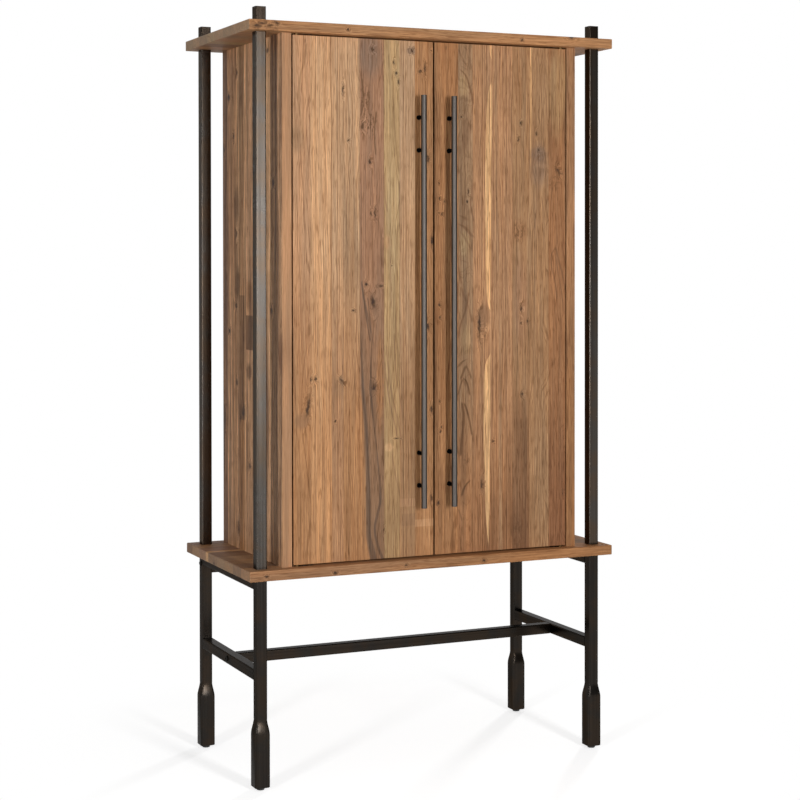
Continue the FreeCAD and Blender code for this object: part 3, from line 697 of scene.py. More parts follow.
LEFT_DOOR_STAVES = (
    (45, "tan", "amber", "wavy"),
    (55, "honey", "straw", "straight"),
    (32, "wheat", "clay", "straight"),
    (43, "wheat", "amber", "wavy"),
    (65, "mauve", "walnut", "wavy"),
    (43, "olive", "drab", "wavy"),
    (42, "wheat", "fawn", "straight"),
    (51, "amber", "amber", "wavy"),
)
LEFT_DOOR_MARKS = {
    "boldness": 1.12,
    # painted shade on the door's narrow edges, dark as if the gaps beside them lay in shadow
    "rim": 0.7,
    "lines": (
        ("fawn", 0.95, 4.5, ((1130, 14), (1188, 20), (1223, 30), (1270, 37))),
        ("fawn", 0.8, 3.8, ((1010, 30), (1080, 22), (1150, 8))),
        ("walnut", 0.7, 2.7, ((300, 277), (340, 268), (380, 258), (430, 249), (490, 243))),
        ("walnut", 0.6, 2.7, ((290, 290), (350, 276), (400, 264), (450, 255), (530, 248))),
        ("walnut", 0.55, 2.4, ((330, 300), (390, 286), (460, 274), (560, 268))),
        ("walnut", 0.55, 2.7, ((150, 285), (200, 273), (262, 262))),
        ("ash", 0.8, 3.3, ((860, 250), (900, 244), (960, 242))),
        ("ash", 0.8, 2.7, ((760, 287), (860, 285), (940, 283))),
        ("ash", 0.7, 2.7, ((620, 262), (720, 258), (800, 256))),
        ("vein", 0.8, 3.3, ((540, 204), (600, 193), (640, 187), (690, 180))),
        ("vein", 0.7, 2.7, ((560, 206), (610, 201), (650, 196))),
        ("burl", 0.8, 3.0, ((1000, 219), (1050, 215), (1110, 221))),
        ("burl", 0.75, 3.6, ((1095, 178), (1140, 186), (1190, 182))),
        ("burl", 0.7, 2.7, ((1110, 198), (1135, 195), (1160, 199))),
    ),
    "knots": (
        (38, 382, 5, 24, -8), (46, 451, 2, 6), (58, 452, 3.5, 5), (127, 446, 3, 7, 35),
        (147, 1036, 2.5, 3), (158, 617, 3.5, 3), (132, 1160, 2, 11), (211, 1262, 5, 5),
        (184, 1072, 4, 7), (203, 985, 3, 8), (207, 855, 2, 7), (217, 858, 2.5, 9),
        (211, 637, 6, 17, 14), (193, 682, 4, 5), (232, 678, 5, 3), (213, 427, 6, 9),
        (262, 727, 2, 2.5), (275, 298, 6, 1.5), (281, 1185, 2, 7), (268, 1232, 2, 5),
        (275, 1205, 3, 4), (317, 1263, 4, 6), (353, 1222, 2.5, 12), (340, 1213, 4, 4),
        (371, 1267, 2.5, 3), (362, 995, 3, 12), (373, 790, 4, 12), (362, 575, 4, 11),
        (371, 368, 4, 9), (371, 145, 3, 9), (110, 346, 2, 3), (240, 72, 2, 5),
    ),
    "burls": (
        (0.95, 200, 1078, 26, 36), (0.8, 190, 1140, 18, 40),
    ),
    "patches": (
        ("ash", 0.6, 10, 1035, 20, 36), ("walnut", 0.55, 24, 350, 22, 20),
        ("ash", 0.7, 152, 790, 20, 190), ("slate", 0.75, 205, 1250, 34, 62),
        ("honey", 0.55, 250, 785, 10, 20), ("honey", 0.5, 254, 276, 12, 11),
        ("slate", 0.6, 316, 1264, 14, 12), ("ash", 0.6, 120, 430, 14, 30),
        ("ash", 0.2, 262, 120, 18, 130), ("russet", 0.85, 230, 440, 10, 130),
        ("straw", 0.6, 361, 105, 15, 110),
    ),
    "blocks": (
        ("honey", 0.45, 325, 376, 74, 92), ("walnut", 0.35, 288, 326, 78, 108),
        ("tan", 0.4, 284, 326, 126, 146),
    ),
    "bands": (
        ("amber", 0.95, 3.0,
         ((0, 174), (1288, 174)),
         ((0, 204), (30, 198), (60, 193), (150, 192), (250, 191), (350, 186), (430, 178),
          (480, 172), (1288, 172))),
        ("vein", 0.7, 5.0,
         ((0, 203), (30, 197), (60, 192), (150, 191), (250, 190), (350, 185), (430, 177),
          (520, 176), (1288, 182)),
         ((0, 224), (30, 216), (60, 208), (150, 206), (250, 203), (350, 197), (430, 189),
          (520, 184), (640, 178), (1288, 176))),
        ("vein", 0.75, 3.5,
         ((0, 231), (40, 217), (75, 211), (110, 218), (150, 226), (250, 219), (330, 210),
          (430, 201), (520, 204), (560, 208), (1288, 215)),
         ((0, 242), (40, 227), (75, 220), (110, 227), (150, 235), (250, 227), (330, 218),
          (430, 209), (520, 208), (560, 207), (1288, 210))),
        ("vein", 0.65, 5.0,
         ((0, 230), (500, 218), (520, 212), (560, 202), (600, 192), (660, 180), (700, 178),
          (1288, 184)),
         ((0, 226), (500, 214), (520, 217), (560, 210), (600, 203), (660, 190), (700, 184),
          (1288, 180))),
        ("honey", 0.8, 6.0,
         ((0, 176), (700, 176), (830, 168), (900, 162), (1288, 164)),
         ((0, 174), (700, 174), (830, 174), (900, 174), (1288, 174))),
    ),
}
RIGHT_DOOR_STAVES = (
    (66, "russet", "russet", "wavy"),
    (41, "ash", "chestnut", "arched"),
    (53, "clay", "chestnut", "straight"),
    (60, "clay", "chestnut", "straight"),
    (48, "fawn", "umber", "straight"),
    (57, "fawn", "fawn", "sweeping"),
    (51, "chestnut", "sienna", "sweeping"),
)
RIGHT_DOOR_MARKS = {
    "fade": (0.0, 0.45),
    "boldness": 1.3,
    # painted shade on the door's narrow edges, dark as if the gaps beside them lay in shadow
    "rim": 0.7,
    "lines": (
        ("umber", 0.6, 4.3, ((1230, 92), (1250, 79), (1275, 66))),
        ("umber", 0.5, 3.9, ((1215, 108), (1245, 98), (1280, 86))),
        ("umber", 0.9, 4.7, ((1135, 108), (1160, 104), (1180, 98), (1205, 89), (1223, 72))),
        ("umber", 0.5, 3.9, ((1060, 101), (1100, 103), (1140, 106))),
        ("umber", 0.8, 3.9, ((838, 110), (862, 105), (885, 101), (910, 104), (935, 106))),
        ("umber", 0.6, 9.8, ((842, 90), (850, 82), (856, 66))),
        ("umber", 0.75, 8.8, ((798, 109), (812, 96), (822, 87), (829, 77), (834, 62))),
        ("umber", 0.5, 5.5, ((765, 104), (775, 98), (795, 86), (812, 75))),
        ("umber", 0.45, 7.8, ((734, 92), (741, 78), (744, 64))),
        ("umber", 0.65, 4.3, ((680, 76), (700, 71), (725, 66))),
        ("umber", 0.6, 6.2, ((635, 89), (650, 82), (674, 73))),
        ("umber", 0.7, 4.3, ((545, 66), (575, 72), (597, 80), (625, 90), (660, 97))),
        ("umber", 0.6, 3.9, ((585, 105), (605, 100), (630, 94))),
        ("burl", 0.8, 6.2, ((470, 66), (483, 76), (491, 92))),
        ("burl", 0.75, 5.4, ((440, 73), (460, 81), (474, 87))),
        ("burl", 0.6, 4.7, ((440, 103), (460, 95), (474, 88))),
        ("burl", 0.95, 3.8, ((398, 98), (420, 93), (435, 88), (443, 81))),
        ("burl", 0.75, 3.8, ((400, 66), (425, 73), (442, 80))),
        ("burl", 0.95, 5.3, ((245, 72), (280, 75), (310, 79), (345, 81), (382, 77))),
        ("burl", 0.95, 4.1, ((296, 104), (330, 98), (355, 92), (380, 83))),
        ("burl", 0.95, 5.3, ((143, 75), (160, 80), (172, 88), (183, 100))),
        ("burl", 0.6, 3.4, ((80, 76), (100, 70), (112, 66))),
        ("chestnut", 0.95, 3.6, ((870, 376), (885, 362), (905, 343))),
        ("chestnut", 0.95, 3.6, ((836, 376), (858, 363), (888, 346))),
        ("chestnut", 0.95, 3.9, ((790, 348), (840, 344), (865, 337), (908, 322))),
        ("umber", 0.8, 3.9, ((640, 352), (690, 344), (715, 337), (742, 333), (774, 345))),
        ("umber", 0.8, 3.9, ((660, 376), (710, 365), (740, 356), (774, 347))),
        ("umber", 0.7, 3.3, ((600, 372), (660, 364), (710, 354), (750, 348))),
        ("umber", 0.55, 3.0, ((560, 350), (620, 344), (680, 332))),
        ("walnut", 0.8, 2.4, ((926, 322), (945, 322), (962, 324))),
        ("walnut", 0.75, 4.5, ((984, 284), (1000, 290), (1012, 304), (1018, 322))),
        ("walnut", 0.55, 3.3, ((960, 276), (990, 280), (1020, 284), (1060, 280))),
        ("walnut", 0.55, 3.6, ((820, 286), (900, 292), (970, 300))),
    ),
    "knots": (
        (12, 935, 2, 3), (14, 896, 2.5, 4), (28, 889, 2, 3), (12, 860, 2.5, 3), (20, 857, 2.5, 3),
        (14, 630, 2.5, 4), (16, 596, 2.5, 3), (13, 385, 2.5, 3), (15, 310, 2.5, 4), (19, 322, 2, 3),
        (10, 130, 2.5, 4), (95, 914, 2.5, 7), (91, 890, 2, 4), (74, 1103, 3, 3),
        (245, 1092, 2.5, 5), (237, 1050, 2, 5), (290, 1067, 2.5, 6), (297, 1024, 2.5, 4),
        (354, 972, 4, 9, 20), (246, 617, 3.5, 8), (245, 580, 2, 3), (265, 584, 2, 4),
        (126, 578, 4, 24), (133, 172, 3.5, 12), (164, 280, 2.5, 3), (249, 397, 3.5, 5),
        (368, 140, 1.5, 10),
    ),
    "burls": (
        (0.75, 357, 970, 22, 26), (0.8, 240, 815, 20, 32), (0.8, 136, 560, 18, 30),
        (0.75, 234, 42, 22, 46), (0.45, 300, 1010, 24, 20), (0.6, 89, 232, 12, 16),
        (0.5, 345, 940, 26, 22),
    ),
    "patches": (
        ("slate", 0.6, 296, 1014, 25, 20), ("honey", 0.3, 306, 984, 18, 6),
        ("chestnut", 0.6, 356, 972, 26, 30), ("chestnut", 0.55, 240, 815, 22, 36),
        ("walnut", 0.7, 136, 596, 22, 36), ("honey", 0.5, 147, 570, 8, 12),
        ("mauve", 0.5, 245, 640, 22, 130), ("walnut", 0.6, 88, 1065, 12, 55, -8),
        ("walnut", 0.5, 84, 640, 8, 40), ("olive", 0.55, 82, 1185, 15, 34),
        ("olive", 0.5, 84, 785, 16, 36), ("olive", 0.4, 88, 540, 14, 40),
        ("umber", 0.5, 238, 60, 24, 60), ("umber", 0.5, 244, 300, 24, 110),
        ("umber", 0.4, 165, 60, 60, 90), ("fawn", 0.5, 124, 1262, 20, 40),
        ("drab", 0.6, 352, 1180, 30, 130), ("slate", 0.5, 298, 985, 28, 60),
        ("russet", 0.35, 240, 1190, 14, 80), ("sienna", 0.5, 352, 60, 26, 80),
    ),
    "bands": (
        ("sapwood", 0.95, 2.5,
         ((0, 154), (12, 151), (100, 143), (250, 138), (400, 136), (470, 140), (512, 158),
          (560, 162), (605, 159), (625, 151), (663, 145), (760, 142), (900, 140), (1000, 141),
          (1100, 145), (1165, 150), (1215, 162), (1245, 162), (1262, 155), (1288, 152)),
         ((0, 151), (12, 153), (100, 155), (300, 157), (500, 159), (640, 157), (760, 159),
          (900, 161), (1288, 162))),
        ("sapwood", 0.6, 4.5,
         ((0, 280), (900, 280), (1000, 270), (1288, 268)),
         ((0, 270), (900, 270), (1000, 276), (1288, 280))),
        ("ash", 0.7, 7.5,
         ((0, 178), (420, 178), (1000, 168), (1288, 164)),
         ((0, 196), (420, 192), (1000, 180), (1288, 176))),
        ("chestnut", 0.75, 9.0,
         ((0, 330), (600, 372), (700, 360), (800, 345), (900, 330), (1288, 330)),
         ((0, 326), (600, 372), (700, 376), (800, 362), (900, 338), (1288, 326))),
    ),
}
SIDE_STAVES = (
    (33, "tan", "tan", "wavy"),
    (47, "tan", "tan", "straight"),
    (75, "honey", "tan", "straight"),
    (55, "clay", "amber", "wavy"),
    (55, "tan", "tan", "straight"),
    (10, "honey", "honey", "straight"),
    (22, "clay", "russet", "wavy"),
    (18, "fawn", "russet", "wavy"),
    (20, "honey", "tan", "straight"),
    (30, "clay", "clay", "wavy"),
    (45, "clay", "tan", "straight"),
    (35, "umber", "umber", "wavy"),
)
SIDE_MARKS = {
    "lively": 2.2,
    "boldness": 1.7,
    "calm_front": True,
    "knots": (
        (62, 935, 9, 8), (100, 1262, 8, 7), (72, 620, 5, 8), (393, 560, 6, 6), (335, 812, 6, 10),
        (330, 1228, 5, 8), (358, 1065, 4, 8), (397, 1170, 12, 10), (434, 1035, 5, 9),
        (335, 430, 8, 10), (286, 357, 14, 12), (306, 340, 4, 14), (236, 222, 7, 8),
        (322, 55, 6, 24), (340, 628, 10, 8), (430, 330, 5, 18),
    ),
    "burls": (
        (0.6, 288, 370, 26, 50), (0.5, 338, 1230, 22, 26), (0.45, 340, 650, 22, 40),
        (0.4, 335, 240, 20, 26),
    ),
    "patches": (
        ("burl", 0.8, 240, 655, 18, 42), ("burl", 0.8, 240, 462, 22, 22),
        ("burl", 0.65, 338, 890, 22, 48), ("burl", 0.7, 326, 685, 20, 46),
        ("sienna", 0.8, 12, 520, 16, 50), ("honey", 0.6, 319, 1010, 5, 110),
    ),
    "blocks": (
        ("tan", 0.75, -5, 1, -5, 1300), ("burl", 0.9, 212, 263, 517, 605),
        ("russet", 0.4, 212, 263, 605, 690), ("burl", 0.7, 275, 315, 335, 655),
        ("honey", 0.5, 265, 285, 700, 1290),
    ),
}
RIGHT_SIDE_STAVES = SIDE_STAVES[3:8] + SIDE_STAVES[:3] + SIDE_STAVES[8:]
RIGHT_SIDE_MARKS = {
    "lively": 0.9,
    "knots": SIDE_MARKS["knots"][4:],
    "burls": SIDE_MARKS["burls"],
}
TOP_STAVES = (
    (62, "straw", "straw", "wavy"),
    (70, "tan", "clay", "straight"),
    (58, "walnut", "ash", "wavy"),
    (66, "clay", "clay", "straight"),
    (60, "olive", "drab", "wavy"),
    (64, "mauve", "walnut", "straight"),
    (55, "clay", "clay", "wavy"),
    (65, "ash", "ash", "straight"),
)
TOP_MARKS = {
    "end_grain": 0.55,
    "knots": (
        (0, 20, 5, 9, 0, 9, 3), (0, 34, 5, 7, 0, 16, 3), (0, 52, 5, 6, 0, 12, 2.5),
        (0, 70, 5, 5, 0, 17, 3), (0, 255, 4, 4, 0, 12, 3), (0, 735, 4, 4, 0, 10, 3),
        (0, 880, 6, 9, 0, 25, 5), (150, 420, 9, 16), (330, 700, 7, 14), (270, 160, 8, 12),
    ),
    "burls": (
        (0.7, 0, 42, 16, 40),
    ),
}
BASE_STAVES = (
    (64, "amber", "clay", "wavy"),
    (60, "ash", "walnut", "straight"),
    (66, "clay", "fawn", "wavy"),
    (58, "mauve", "ash", "straight"),
    (70, "fawn", "walnut", "wavy"),
    (20, "sapwood", "sapwood", "straight"),
    (54, "tan", "mauve", "straight"),
    (58, "ash", "fawn", "wavy"),
    (50, "umber", "umber", "straight"),
)
BASE_MARKS = {
    "end_grain": 0.2,
    "knots": (
        (0, 42, 4, 4, 0, 12, 3), (0, 220, 4, 5, 0, 9, 3), (0, 410, 4, 4, 0, 14, 3),
        (0, 625, 4, 4, 0, 10, 3), (272, 0, 6, 4, 0, 4, 5), (200, 560, 9, 15), (90, 820, 8, 14),
    ),
}
SHELF_STAVES = (
    (70, "tan", "honey", "straight"),
    (62, "clay", "tan", "wavy"),
    (74, "olive", "drab", "straight"),
    (60, "amber", "clay", "wavy"),
    (66, "tan", "clay", "straight"),
    (59, "drab", "olive", "wavy"),
)
BACK_STAVES = (
    (105, "tan", "clay", "wavy"),
    (92, "olive", "drab", "straight"),
    (118, "amber", "clay", "wavy"),
    (98, "clay", "ash", "straight"),
    (110, "tan", "amber", "wavy"),
    (100, "drab", "olive", "straight"),
    (162, "clay", "tan", "wavy"),
)


# Metal and plastic

BRUSH_FINE = 240.0               # brush lines per metre across the brushing, and along it
BRUSH_LONG = 2.5
CLOUD_SCALE = 16.0               # clouds and speckles of a finish per metre
SPECKLE_SCALE = 900.0
CLOUD_DETAIL = 4.0
FINISH_ROUGHNESS = 0.6           # roughness of the noise in a finish
CLOUD_FADE = (0.35, 0.65)        # noise between which a finish turns from its first tone to its second
BRUSH_SHARE = 0.8                # shares of the brushing, the speckles and the clouds in the metal's grain
SPECKLE_SHARE = 0.2
CLOUD_SHARE = 0.2
GRAIN_MEAN = 0.6
ROUGHNESS_DRIFT = 0.06
BRUSH_RELIEF = 0.00001
BRUSH_STRENGTH = 0.1
TIP_EDGE = 0.001                 # height over which a post takes on the tone of its tip
BOLT_ROUGHNESS = 0.4
PLATED_ROUGHNESS = 0.3
BRASS_ROUGHNESS = 0.34
FULL_MIRROR = 1.0                # edge tint of bright metal
SPARK_SCALE = 2400.0             # spark texture and scuffs of plastic per metre
SCUFF_SCALE = 120.0
SCUFF_DETAIL = 3.0
SCUFF_STRENGTH = 0.5
SCUFF_LIGHT = 1.6
SPARK_ROUGHNESS = 0.15
SPARK_RELIEF = 0.00006
SPARK_STRENGTH = 0.5
GLIDE_ROUGHNESS = 0.45
CATCH_ROUGHNESS = 0.5


def metal(name, first, second, roughness, edge_tint, brushed="Z", texture=1.0, tip=None):
    """Metal brushed along one axis, whose finish drifts between two tones and may end in a darker tip."""
    material, tree = finish_of(name)
    place = tree.node("ShaderNodeTexCoord", output="Object")
    stretch = tuple(BRUSH_LONG if axis == brushed else BRUSH_FINE for axis in "XYZ")
    brush = tree.noise(tree.vector("MULTIPLY", place, stretch), roughness=FINISH_ROUGHNESS)
    cloud = tree.noise(place, CLOUD_SCALE, CLOUD_DETAIL, FINISH_ROUGHNESS)
    speckle = tree.noise(place, SPECKLE_SCALE, roughness=FINISH_ROUGHNESS)
    tone = tree.mix(tree.smooth(cloud, *CLOUD_FADE), first, second)
    if tip:
        level, tip_tone = tip
        height = tree.node("ShaderNodeSeparateXYZ", None, {0: place}, output="Z")
        tone = tree.mix(tree.smooth(height, level, level + TIP_EDGE), tone, tip_tone)
    grain = brush * BRUSH_SHARE + speckle * SPECKLE_SHARE + cloud * CLOUD_SHARE
    tone = tree.scaled(tone, 1 - GRAIN_MEAN * texture + grain * texture)
    surface(tree, {
        "Base Color": tone,
        "Metallic": 1.0,
        "Roughness": roughness + (cloud + brush - 2 * MEAN) * (ROUGHNESS_DRIFT * texture),
        "Specular Tint": opaque((edge_tint,) * 3),
        "Normal": bumped(tree, brush, BRUSH_RELIEF, BRUSH_STRENGTH * texture),
    })
    return material


def moulded(name, tone, roughness):
    """Moulded plastic with a fine spark texture."""
    material, tree = finish_of(name)
    place = tree.node("ShaderNodeTexCoord", output="Object")
    spark = tree.noise(place, SPARK_SCALE, roughness=FINISH_ROUGHNESS)
    scuff = tree.noise(place, SCUFF_SCALE, SCUFF_DETAIL, FINISH_ROUGHNESS)
    scuffed = [channel * SCUFF_LIGHT for channel in tone]
    surface(tree, {
        "Base Color": tree.mix(scuff * SCUFF_STRENGTH, tone, scuffed),
        "Roughness": roughness + spark * SPARK_ROUGHNESS,
        "Normal": bumped(tree, spark, SPARK_RELIEF, SPARK_STRENGTH),
    })
    return material


# Dowels: size of a fibre in mm, and what the fibres do to the tone and the surface

DOWEL_FIBRE = (1.2, 40.0)
DOWEL_DETAIL = 3.0
DOWEL_TAN = 0.4
DOWEL_LEVEL = (0.85, 0.3)
DOWEL_ROUGHNESS = (0.6, 0.15)
DOWEL_STRENGTH = 0.3


def dowel_wood():
    """Plain turned wood of the dowels."""
    wood = bpy.context.scene.cabinet_wood
    material, tree = finish_of("dowel_wood")
    board = Board(tree, "panel_dowels", "Z", "X")
    fibre = tree.noise(board.grain(board.across, *DOWEL_FIBRE, 0.0), detail=DOWEL_DETAIL)
    tone = tree.mix(fibre * DOWEL_TAN, wood.birch, wood.tan)
    surface(tree, {
        "Base Color": tree.scaled(tone, DOWEL_LEVEL[0] + fibre * DOWEL_LEVEL[1]),
        "Roughness": DOWEL_ROUGHNESS[0] + fibre * DOWEL_ROUGHNESS[1],
        "Normal": bumped(tree, fibre, wood.relief, DOWEL_STRENGTH),
    })
    return material


# Feet

ARC_STEPS = 6
SHOULDER_STEPS = 12


def rounded_square(half, corner, height):
    """Points round a square section with round corners."""
    points = []
    for quarter in range(4):
        middle = math.radians(45 + 90 * quarter)
        reach = (half - corner) * math.sqrt(2)
        for step in range(ARC_STEPS + 1):
            angle = math.radians(90 * quarter + 90 * step / ARC_STEPS)
            points.append((reach * math.cos(middle) + corner * math.cos(angle),
                           reach * math.sin(middle) + corner * math.sin(angle), height))
    return points


def lofted(name, sections, place):
    """Smooth mesh through closed sections, with a cap on the first."""
    count = len(sections[0])
    verts = [point for section in sections for point in section]
    faces = [tuple(reversed(range(count)))]
    for level in range(len(sections) - 1):
        for index in range(count):
            following = (index + 1) % count
            low, high = level * count, (level + 1) * count
            faces.append((low + index, low + following, high + following, high + index))
    mesh = bpy.data.meshes.new(name)
    mesh.from_pydata([Vector(point) + place for point in verts], [], faces)
    mesh.polygons.foreach_set("use_smooth", [True] * len(faces))
    piece = bpy.data.objects.new(name, mesh)
    bpy.context.scene.collection.objects.link(piece)
    return piece


def add_foot(corner, material, steel):
    """Foot that swells from the leg in a soft shoulder and ends in a rounded rim."""
    low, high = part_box("foot_" + corner)
    leg_low, leg_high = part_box("leg_" + corner)
    half = (high.x - low.x) / 2
    leg_half = (leg_high.x - leg_low.x) / 2
    sections = [rounded_square(half - steel.foot_lip, steel.foot_corner, low.z),
                rounded_square(half, steel.foot_corner, low.z + steel.foot_lip)]
    for step in range(SHOULDER_STEPS + 1):
        share = step / SHOULDER_STEPS
        ease = share * share * (3 - 2 * share)
        width = half + (leg_half - half) * ease
        height = steel.foot_shoulder + (steel.foot_neck - steel.foot_shoulder) * share
        sections.append(rounded_square(width, steel.foot_corner * width / half, height))
    place = Vector(((low.x + high.x) / 2, (low.y + high.y) / 2, 0))
    piece = lofted("rounded_foot_" + corner, sections, place)
    piece.data.materials.append(material)
    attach(piece, "case")
    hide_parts("foot_" + corner)


# Operators

class CABINET_OT_doors(bpy.types.Operator):
    """Gives each door its own staves, knots and veins"""

    bl_idname = "cabinet.doors"
    bl_label = "Doors"

    def execute(self, context):
        dress_board("door_left", "Z", "X", LEFT_DOOR_STAVES, LEFT_DOOR_MARKS)
        dress_board("door_right", "Z", "X", RIGHT_DOOR_STAVES, RIGHT_DOOR_MARKS)
        return {"FINISHED"}


class CABINET_OT_sides(bpy.types.Operator):
    """Gives the side panels their upright staves"""

    bl_idname = "cabinet.sides"
    bl_label = "Side panels"

    def execute(self, context):
        dress_board("side_panel_left", "Z", "Y", SIDE_STAVES, SIDE_MARKS)
        dress_board("side_panel_right", "Z", "Y", RIGHT_SIDE_STAVES, RIGHT_SIDE_MARKS)
        return {"FINISHED"}


class CABINET_OT_panels(bpy.types.Operator):
    """Gives the top, base, shelves and back their staves"""

    bl_idname = "cabinet.panels"
    bl_label = "Top, base, shelves and back"

    def execute(self, context):
        dress_board("top_panel", "X", "Y", TOP_STAVES, TOP_MARKS)
        dress_board("base_panel", "X", "Y", BASE_STAVES, BASE_MARKS)
        for level in ("lower", "middle", "upper"):
            dress_board("shelf_" + level, "X", "Y", SHELF_STAVES)
        dress_board("back_panel", "Z", "X", BACK_STAVES)
        dress(dowel_wood(), "panel_dowels")
        return {"FINISHED"}


class CABINET_OT_steelwork(bpy.types.Operator):
    """Gives the posts, legs and rails their dark finish, with painted shade making the legs and rails
    darker than the posts, and the feet their rounded shoulders
    """

    bl_idname = "cabinet.steelwork"
    bl_label = "Steelwork"

    def execute(self, context):
        steel = context.scene.cabinet_steel
        tip = (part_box("top_panel")[1].z, steel.tip)
        sheen = (steel.frame_roughness, steel.edge_tint)
        post = metal("post_steel", steel.post_warm, steel.post_cool, *sheen, tip=tip)
        # Painted shade: legs, feet, welds and rails take the darker leg tones, not the posts' finish
        leg = metal("leg_steel", steel.leg_shaded_warm, steel.leg_shaded_cool, *sheen)
        rail = metal("rail_steel", steel.leg_shaded_warm, steel.leg_shaded_cool, *sheen, "Y")
        long_rail = metal("long_rail_steel", steel.leg_shaded_warm, steel.leg_shaded_cool, *sheen, "X")
        for corner in CORNERS:
            dress(post, "post_" + corner)
            dress(leg, "leg_" + corner)
            add_foot(corner, leg, steel)
        for side in SIDES:
            dress(rail, "apron_" + side, "side_stretcher_" + side)
        dress(long_rail, "long_stretcher", "rear_rail")
        dress(leg, "weld_beads")
        dress(post, "post_caps")
        return {"FINISHED"}


class CABINET_OT_handles(bpy.types.Operator):
    """Gives the bar handles and their standoffs their finish"""

    bl_idname = "cabinet.handles"
    bl_label = "Handles"

    def execute(self, context):
        steel = context.scene.cabinet_steel
        sheen = (steel.handle_roughness, steel.handle_edge_tint)
        gunmetal = metal("handle_steel", steel.handle, steel.handle, *sheen, texture=steel.handle_texture)
        black = metal("standoff_steel", steel.black, steel.black, *sheen, "Y")
        for side in SIDES:
            dress(gunmetal, "handle_bar_" + side)
            dress(black, "handle_standoffs_" + side)
        return {"FINISHED"}


class CABINET_OT_fittings(bpy.types.Operator):
    """Gives the fasteners, hinges, catches and glides their finishes"""

    bl_idname = "cabinet.fittings"
    bl_label = "Fittings"

    def execute(self, context):
        steel = context.scene.cabinet_steel
        plastic = context.scene.cabinet_plastic
        black = metal("bolt_steel", steel.black, steel.black, BOLT_ROUGHNESS, steel.edge_tint, "X")
        bright = metal("plated_steel", steel.bright, steel.bright, PLATED_ROUGHNESS, FULL_MIRROR)
        brass = metal("hinge_brass", steel.brass, steel.brass, BRASS_ROUGHNESS, FULL_MIRROR, "X")
        dress(black, "rail_bolts")
        dress(bright, "leg_top_plugs", "post_bottom_plugs", "post_studs", "rail_end_plugs")
        dress(bright, "hinge_case_screws", "apron_screws", "back_panel_screws", "catch_screws")
        dress(bright, "shelf_supports")
        dress(brass, "hinge_case_leaves", "hinge_washers")
        for side in SIDES:
            dress(bright, "handle_screws_" + side, "hinge_door_screws_" + side)
            dress(bright, "strike_plate_" + side, "strike_screw_" + side)
            dress(brass, "hinge_door_leaves_" + side)
        dress(moulded("glide_plastic", plastic.glide, GLIDE_ROUGHNESS), "floor_glides")
        dress(moulded("catch_plastic", plastic.catch, CATCH_ROUGHNESS), "magnet_catches")
        return {"FINISHED"}


class CABINET_OT_studio(bpy.types.Operator):
    """Sets up the floor, room, lamps and camera"""

    bl_idname = "cabinet.studio"
    bl_label = "Studio"

    def execute(self, context):
        studio = context.scene.cabinet_studio
        add_floor(studio)
        add_room(studio)
        add_lamp("key_lamp", studio.key_place, studio.key_power, studio)
        add_lamp("side_lamp", studio.side_place, studio.side_power, studio)
        add_lamp("back_lamp", studio.back_place, studio.back_power, studio, mirrored=False)
        add_camera(studio)
        context.scene.view_settings.view_transform = "Standard"
        return {"FINISHED"}


FLOOR_BOUNCE = 0.5               # how much light the floor sends back to the cabinet
ROOM_TURN = 0.2                  # how softly the mirrored room turns from its level to white
SENSOR_WIDTH = 36.0              # mm


def seen_directly(tree):
    """1 on rays that show the background: straight from the camera, mirrored or through glass."""
    path = tree.node("ShaderNodeLightPath")
    seen = path.output("Is Camera Ray") + path.output("Is Glossy Ray") + path.output("Is Transmission Ray")
    return tree.least(seen, 1.0)


def add_floor(studio):
    """White floor that shows soft shadows close to the cabinet."""
    reach = studio.floor_reach
    mesh = bpy.data.meshes.new("floor")
    mesh.from_pydata([(-reach, -reach, 0), (reach, -reach, 0), (reach, reach, 0), (-reach, reach, 0)], [],
                     [(0, 1, 2, 3)])
    floor = bpy.data.objects.new("floor", mesh)
    bpy.context.scene.collection.objects.link(floor)
    material, tree = finish_of("floor_white")
    place = tree.node("ShaderNodeTexCoord", output="Object")
    distance = tree.node("ShaderNodeVectorMath", {"operation": "LENGTH"}, {0: place}, output="Value")
    near = tree.smooth(distance, studio.shadow_far, studio.shadow_near)
    plain = tree.node("ShaderNodeBsdfDiffuse", None, {"Color": opaque((FLOOR_BOUNCE,) * 3)})
    lit = tree.node("ShaderNodeBsdfDiffuse", None, {"Color": opaque((studio.shadow_share,) * 3)})
    glow = tree.node("ShaderNodeEmission", None, {"Strength": studio.floor_glow})
    shaded = tree.node("ShaderNodeAddShader", None, {0: lit, 1: glow})
    white = tree.node("ShaderNodeEmission", None, {"Strength": 1.0})
    shown = tree.node("ShaderNodeMixShader", None, {0: near, 1: white, 2: shaded})
    whole = tree.node("ShaderNodeMixShader", None, {0: seen_directly(tree), 1: plain, 2: shown})
    tree.node("ShaderNodeOutputMaterial", None, {"Surface": whole})
    mesh.materials.append(material)


def add_room(studio):
    """World: a plain level all round, and white where it shows as the background."""
    world = bpy.data.worlds.new("studio_room")
    world.use_nodes = True
    bpy.context.scene.world = world
    tree = Tree(world.node_tree)
    direction = tree.node("ShaderNodeTexCoord", output="Generated")
    back = tree.node("ShaderNodeSeparateXYZ", None, {0: direction}, output="Y")
    path = tree.node("ShaderNodeLightPath")
    mirrored = tree.least(path.output("Is Glossy Ray") + path.output("Is Transmission Ray"), 1.0)
    behind = tree.smooth(back, -ROOM_TURN, ROOM_TURN)
    seen = tree.least(path.output("Is Camera Ray") + mirrored * behind, 1.0)
    level = studio.room + seen * (1 - studio.room)
    background = tree.node("ShaderNodeBackground", None, {"Color": opaque((1.0,) * 3), "Strength": level})
    tree.node("ShaderNodeOutputWorld", None, {"Surface": background})


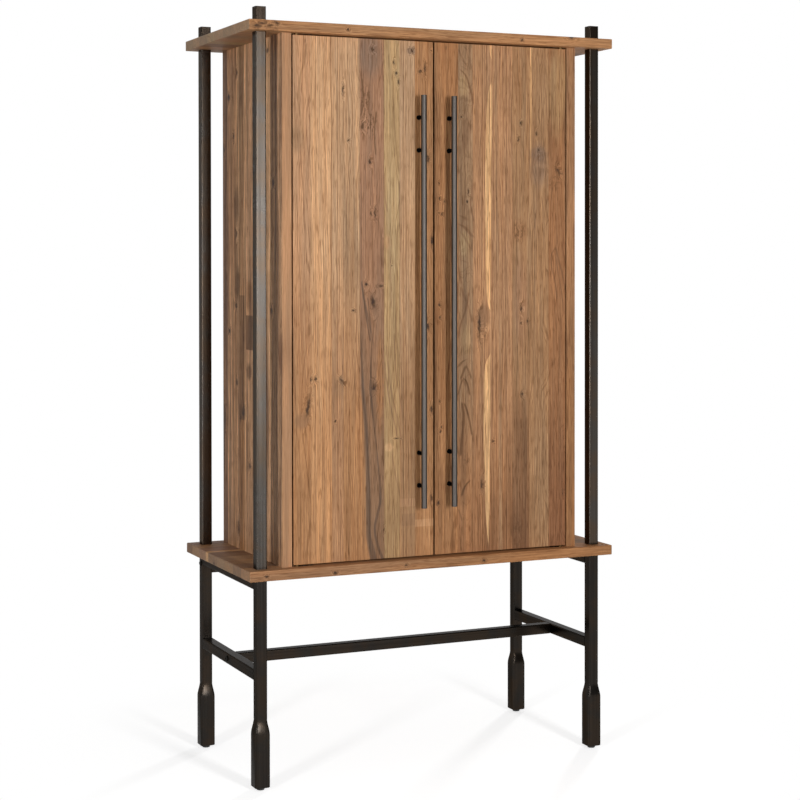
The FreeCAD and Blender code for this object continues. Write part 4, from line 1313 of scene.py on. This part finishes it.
def add_lamp(name, place, power, studio, mirrored=True):
    """Upright soft lamp that faces the cabinet's middle, with or without a mirror image in the steel."""
    lamp = bpy.data.lights.new(name, "AREA")
    lamp.shape = "RECTANGLE"
    lamp.size = studio.lamp_width
    lamp.size_y = studio.lamp_height
    lamp.energy = power
    holder = bpy.data.objects.new(name, lamp)
    bpy.context.scene.collection.objects.link(holder)
    aim = Vector((0, 0, (CAD_BOX[0][2] + CAD_BOX[1][2]) / 2))
    holder.location = place
    holder.rotation_euler = (aim - Vector(place)).to_track_quat("-Z", "Y").to_euler()
    holder.visible_camera = False
    holder.visible_glossy = mirrored


def add_camera(studio):
    """Camera at the photograph's place."""
    camera = bpy.data.cameras.new("camera")
    camera.sensor_width = SENSOR_WIDTH
    camera.lens = studio.lens
    camera.shift_y = studio.shift
    holder = bpy.data.objects.new("camera", camera)
    bpy.context.scene.collection.objects.link(holder)
    holder.location = studio.camera_place
    holder.rotation_euler = studio.camera_turn
    bpy.context.scene.camera = holder


class CABINET_PT_finishes(bpy.types.Panel):
    """Lists what dresses the cabinet"""

    bl_idname = "CABINET_PT_finishes"
    bl_label = "Bar cabinet"
    bl_space_type = "VIEW_3D"
    bl_region_type = "UI"
    bl_category = "Cabinet"

    def draw(self, context):
        for operator in OPERATORS:
            self.layout.operator(operator.bl_idname)


GROUPS = {
    "cabinet_wood": CabinetWood,
    "cabinet_steel": CabinetSteel,
    "cabinet_plastic": CabinetPlastic,
    "cabinet_studio": CabinetStudio,
}
OPERATORS = (CABINET_OT_doors, CABINET_OT_sides, CABINET_OT_panels, CABINET_OT_steelwork,
             CABINET_OT_handles, CABINET_OT_fittings, CABINET_OT_studio)


def register():
    for name, group in GROUPS.items():
        bpy.utils.register_class(group)
        setattr(bpy.types.Scene, name, bpy.props.PointerProperty(type=group))
    for operator in OPERATORS:
        bpy.utils.register_class(operator)
    bpy.utils.register_class(CABINET_PT_finishes)


def unregister():
    bpy.utils.unregister_class(CABINET_PT_finishes)
    for operator in reversed(OPERATORS):
        bpy.utils.unregister_class(operator)
    for name, group in reversed(GROUPS.items()):
        delattr(bpy.types.Scene, name)
        bpy.utils.unregister_class(group)


def main():
    register()
    bpy.ops.cabinet.doors()
    bpy.ops.cabinet.sides()
    bpy.ops.cabinet.panels()
    bpy.ops.cabinet.steelwork()
    bpy.ops.cabinet.handles()
    bpy.ops.cabinet.fittings()
    bpy.ops.cabinet.studio()


if __name__ == "__main__":
    main()
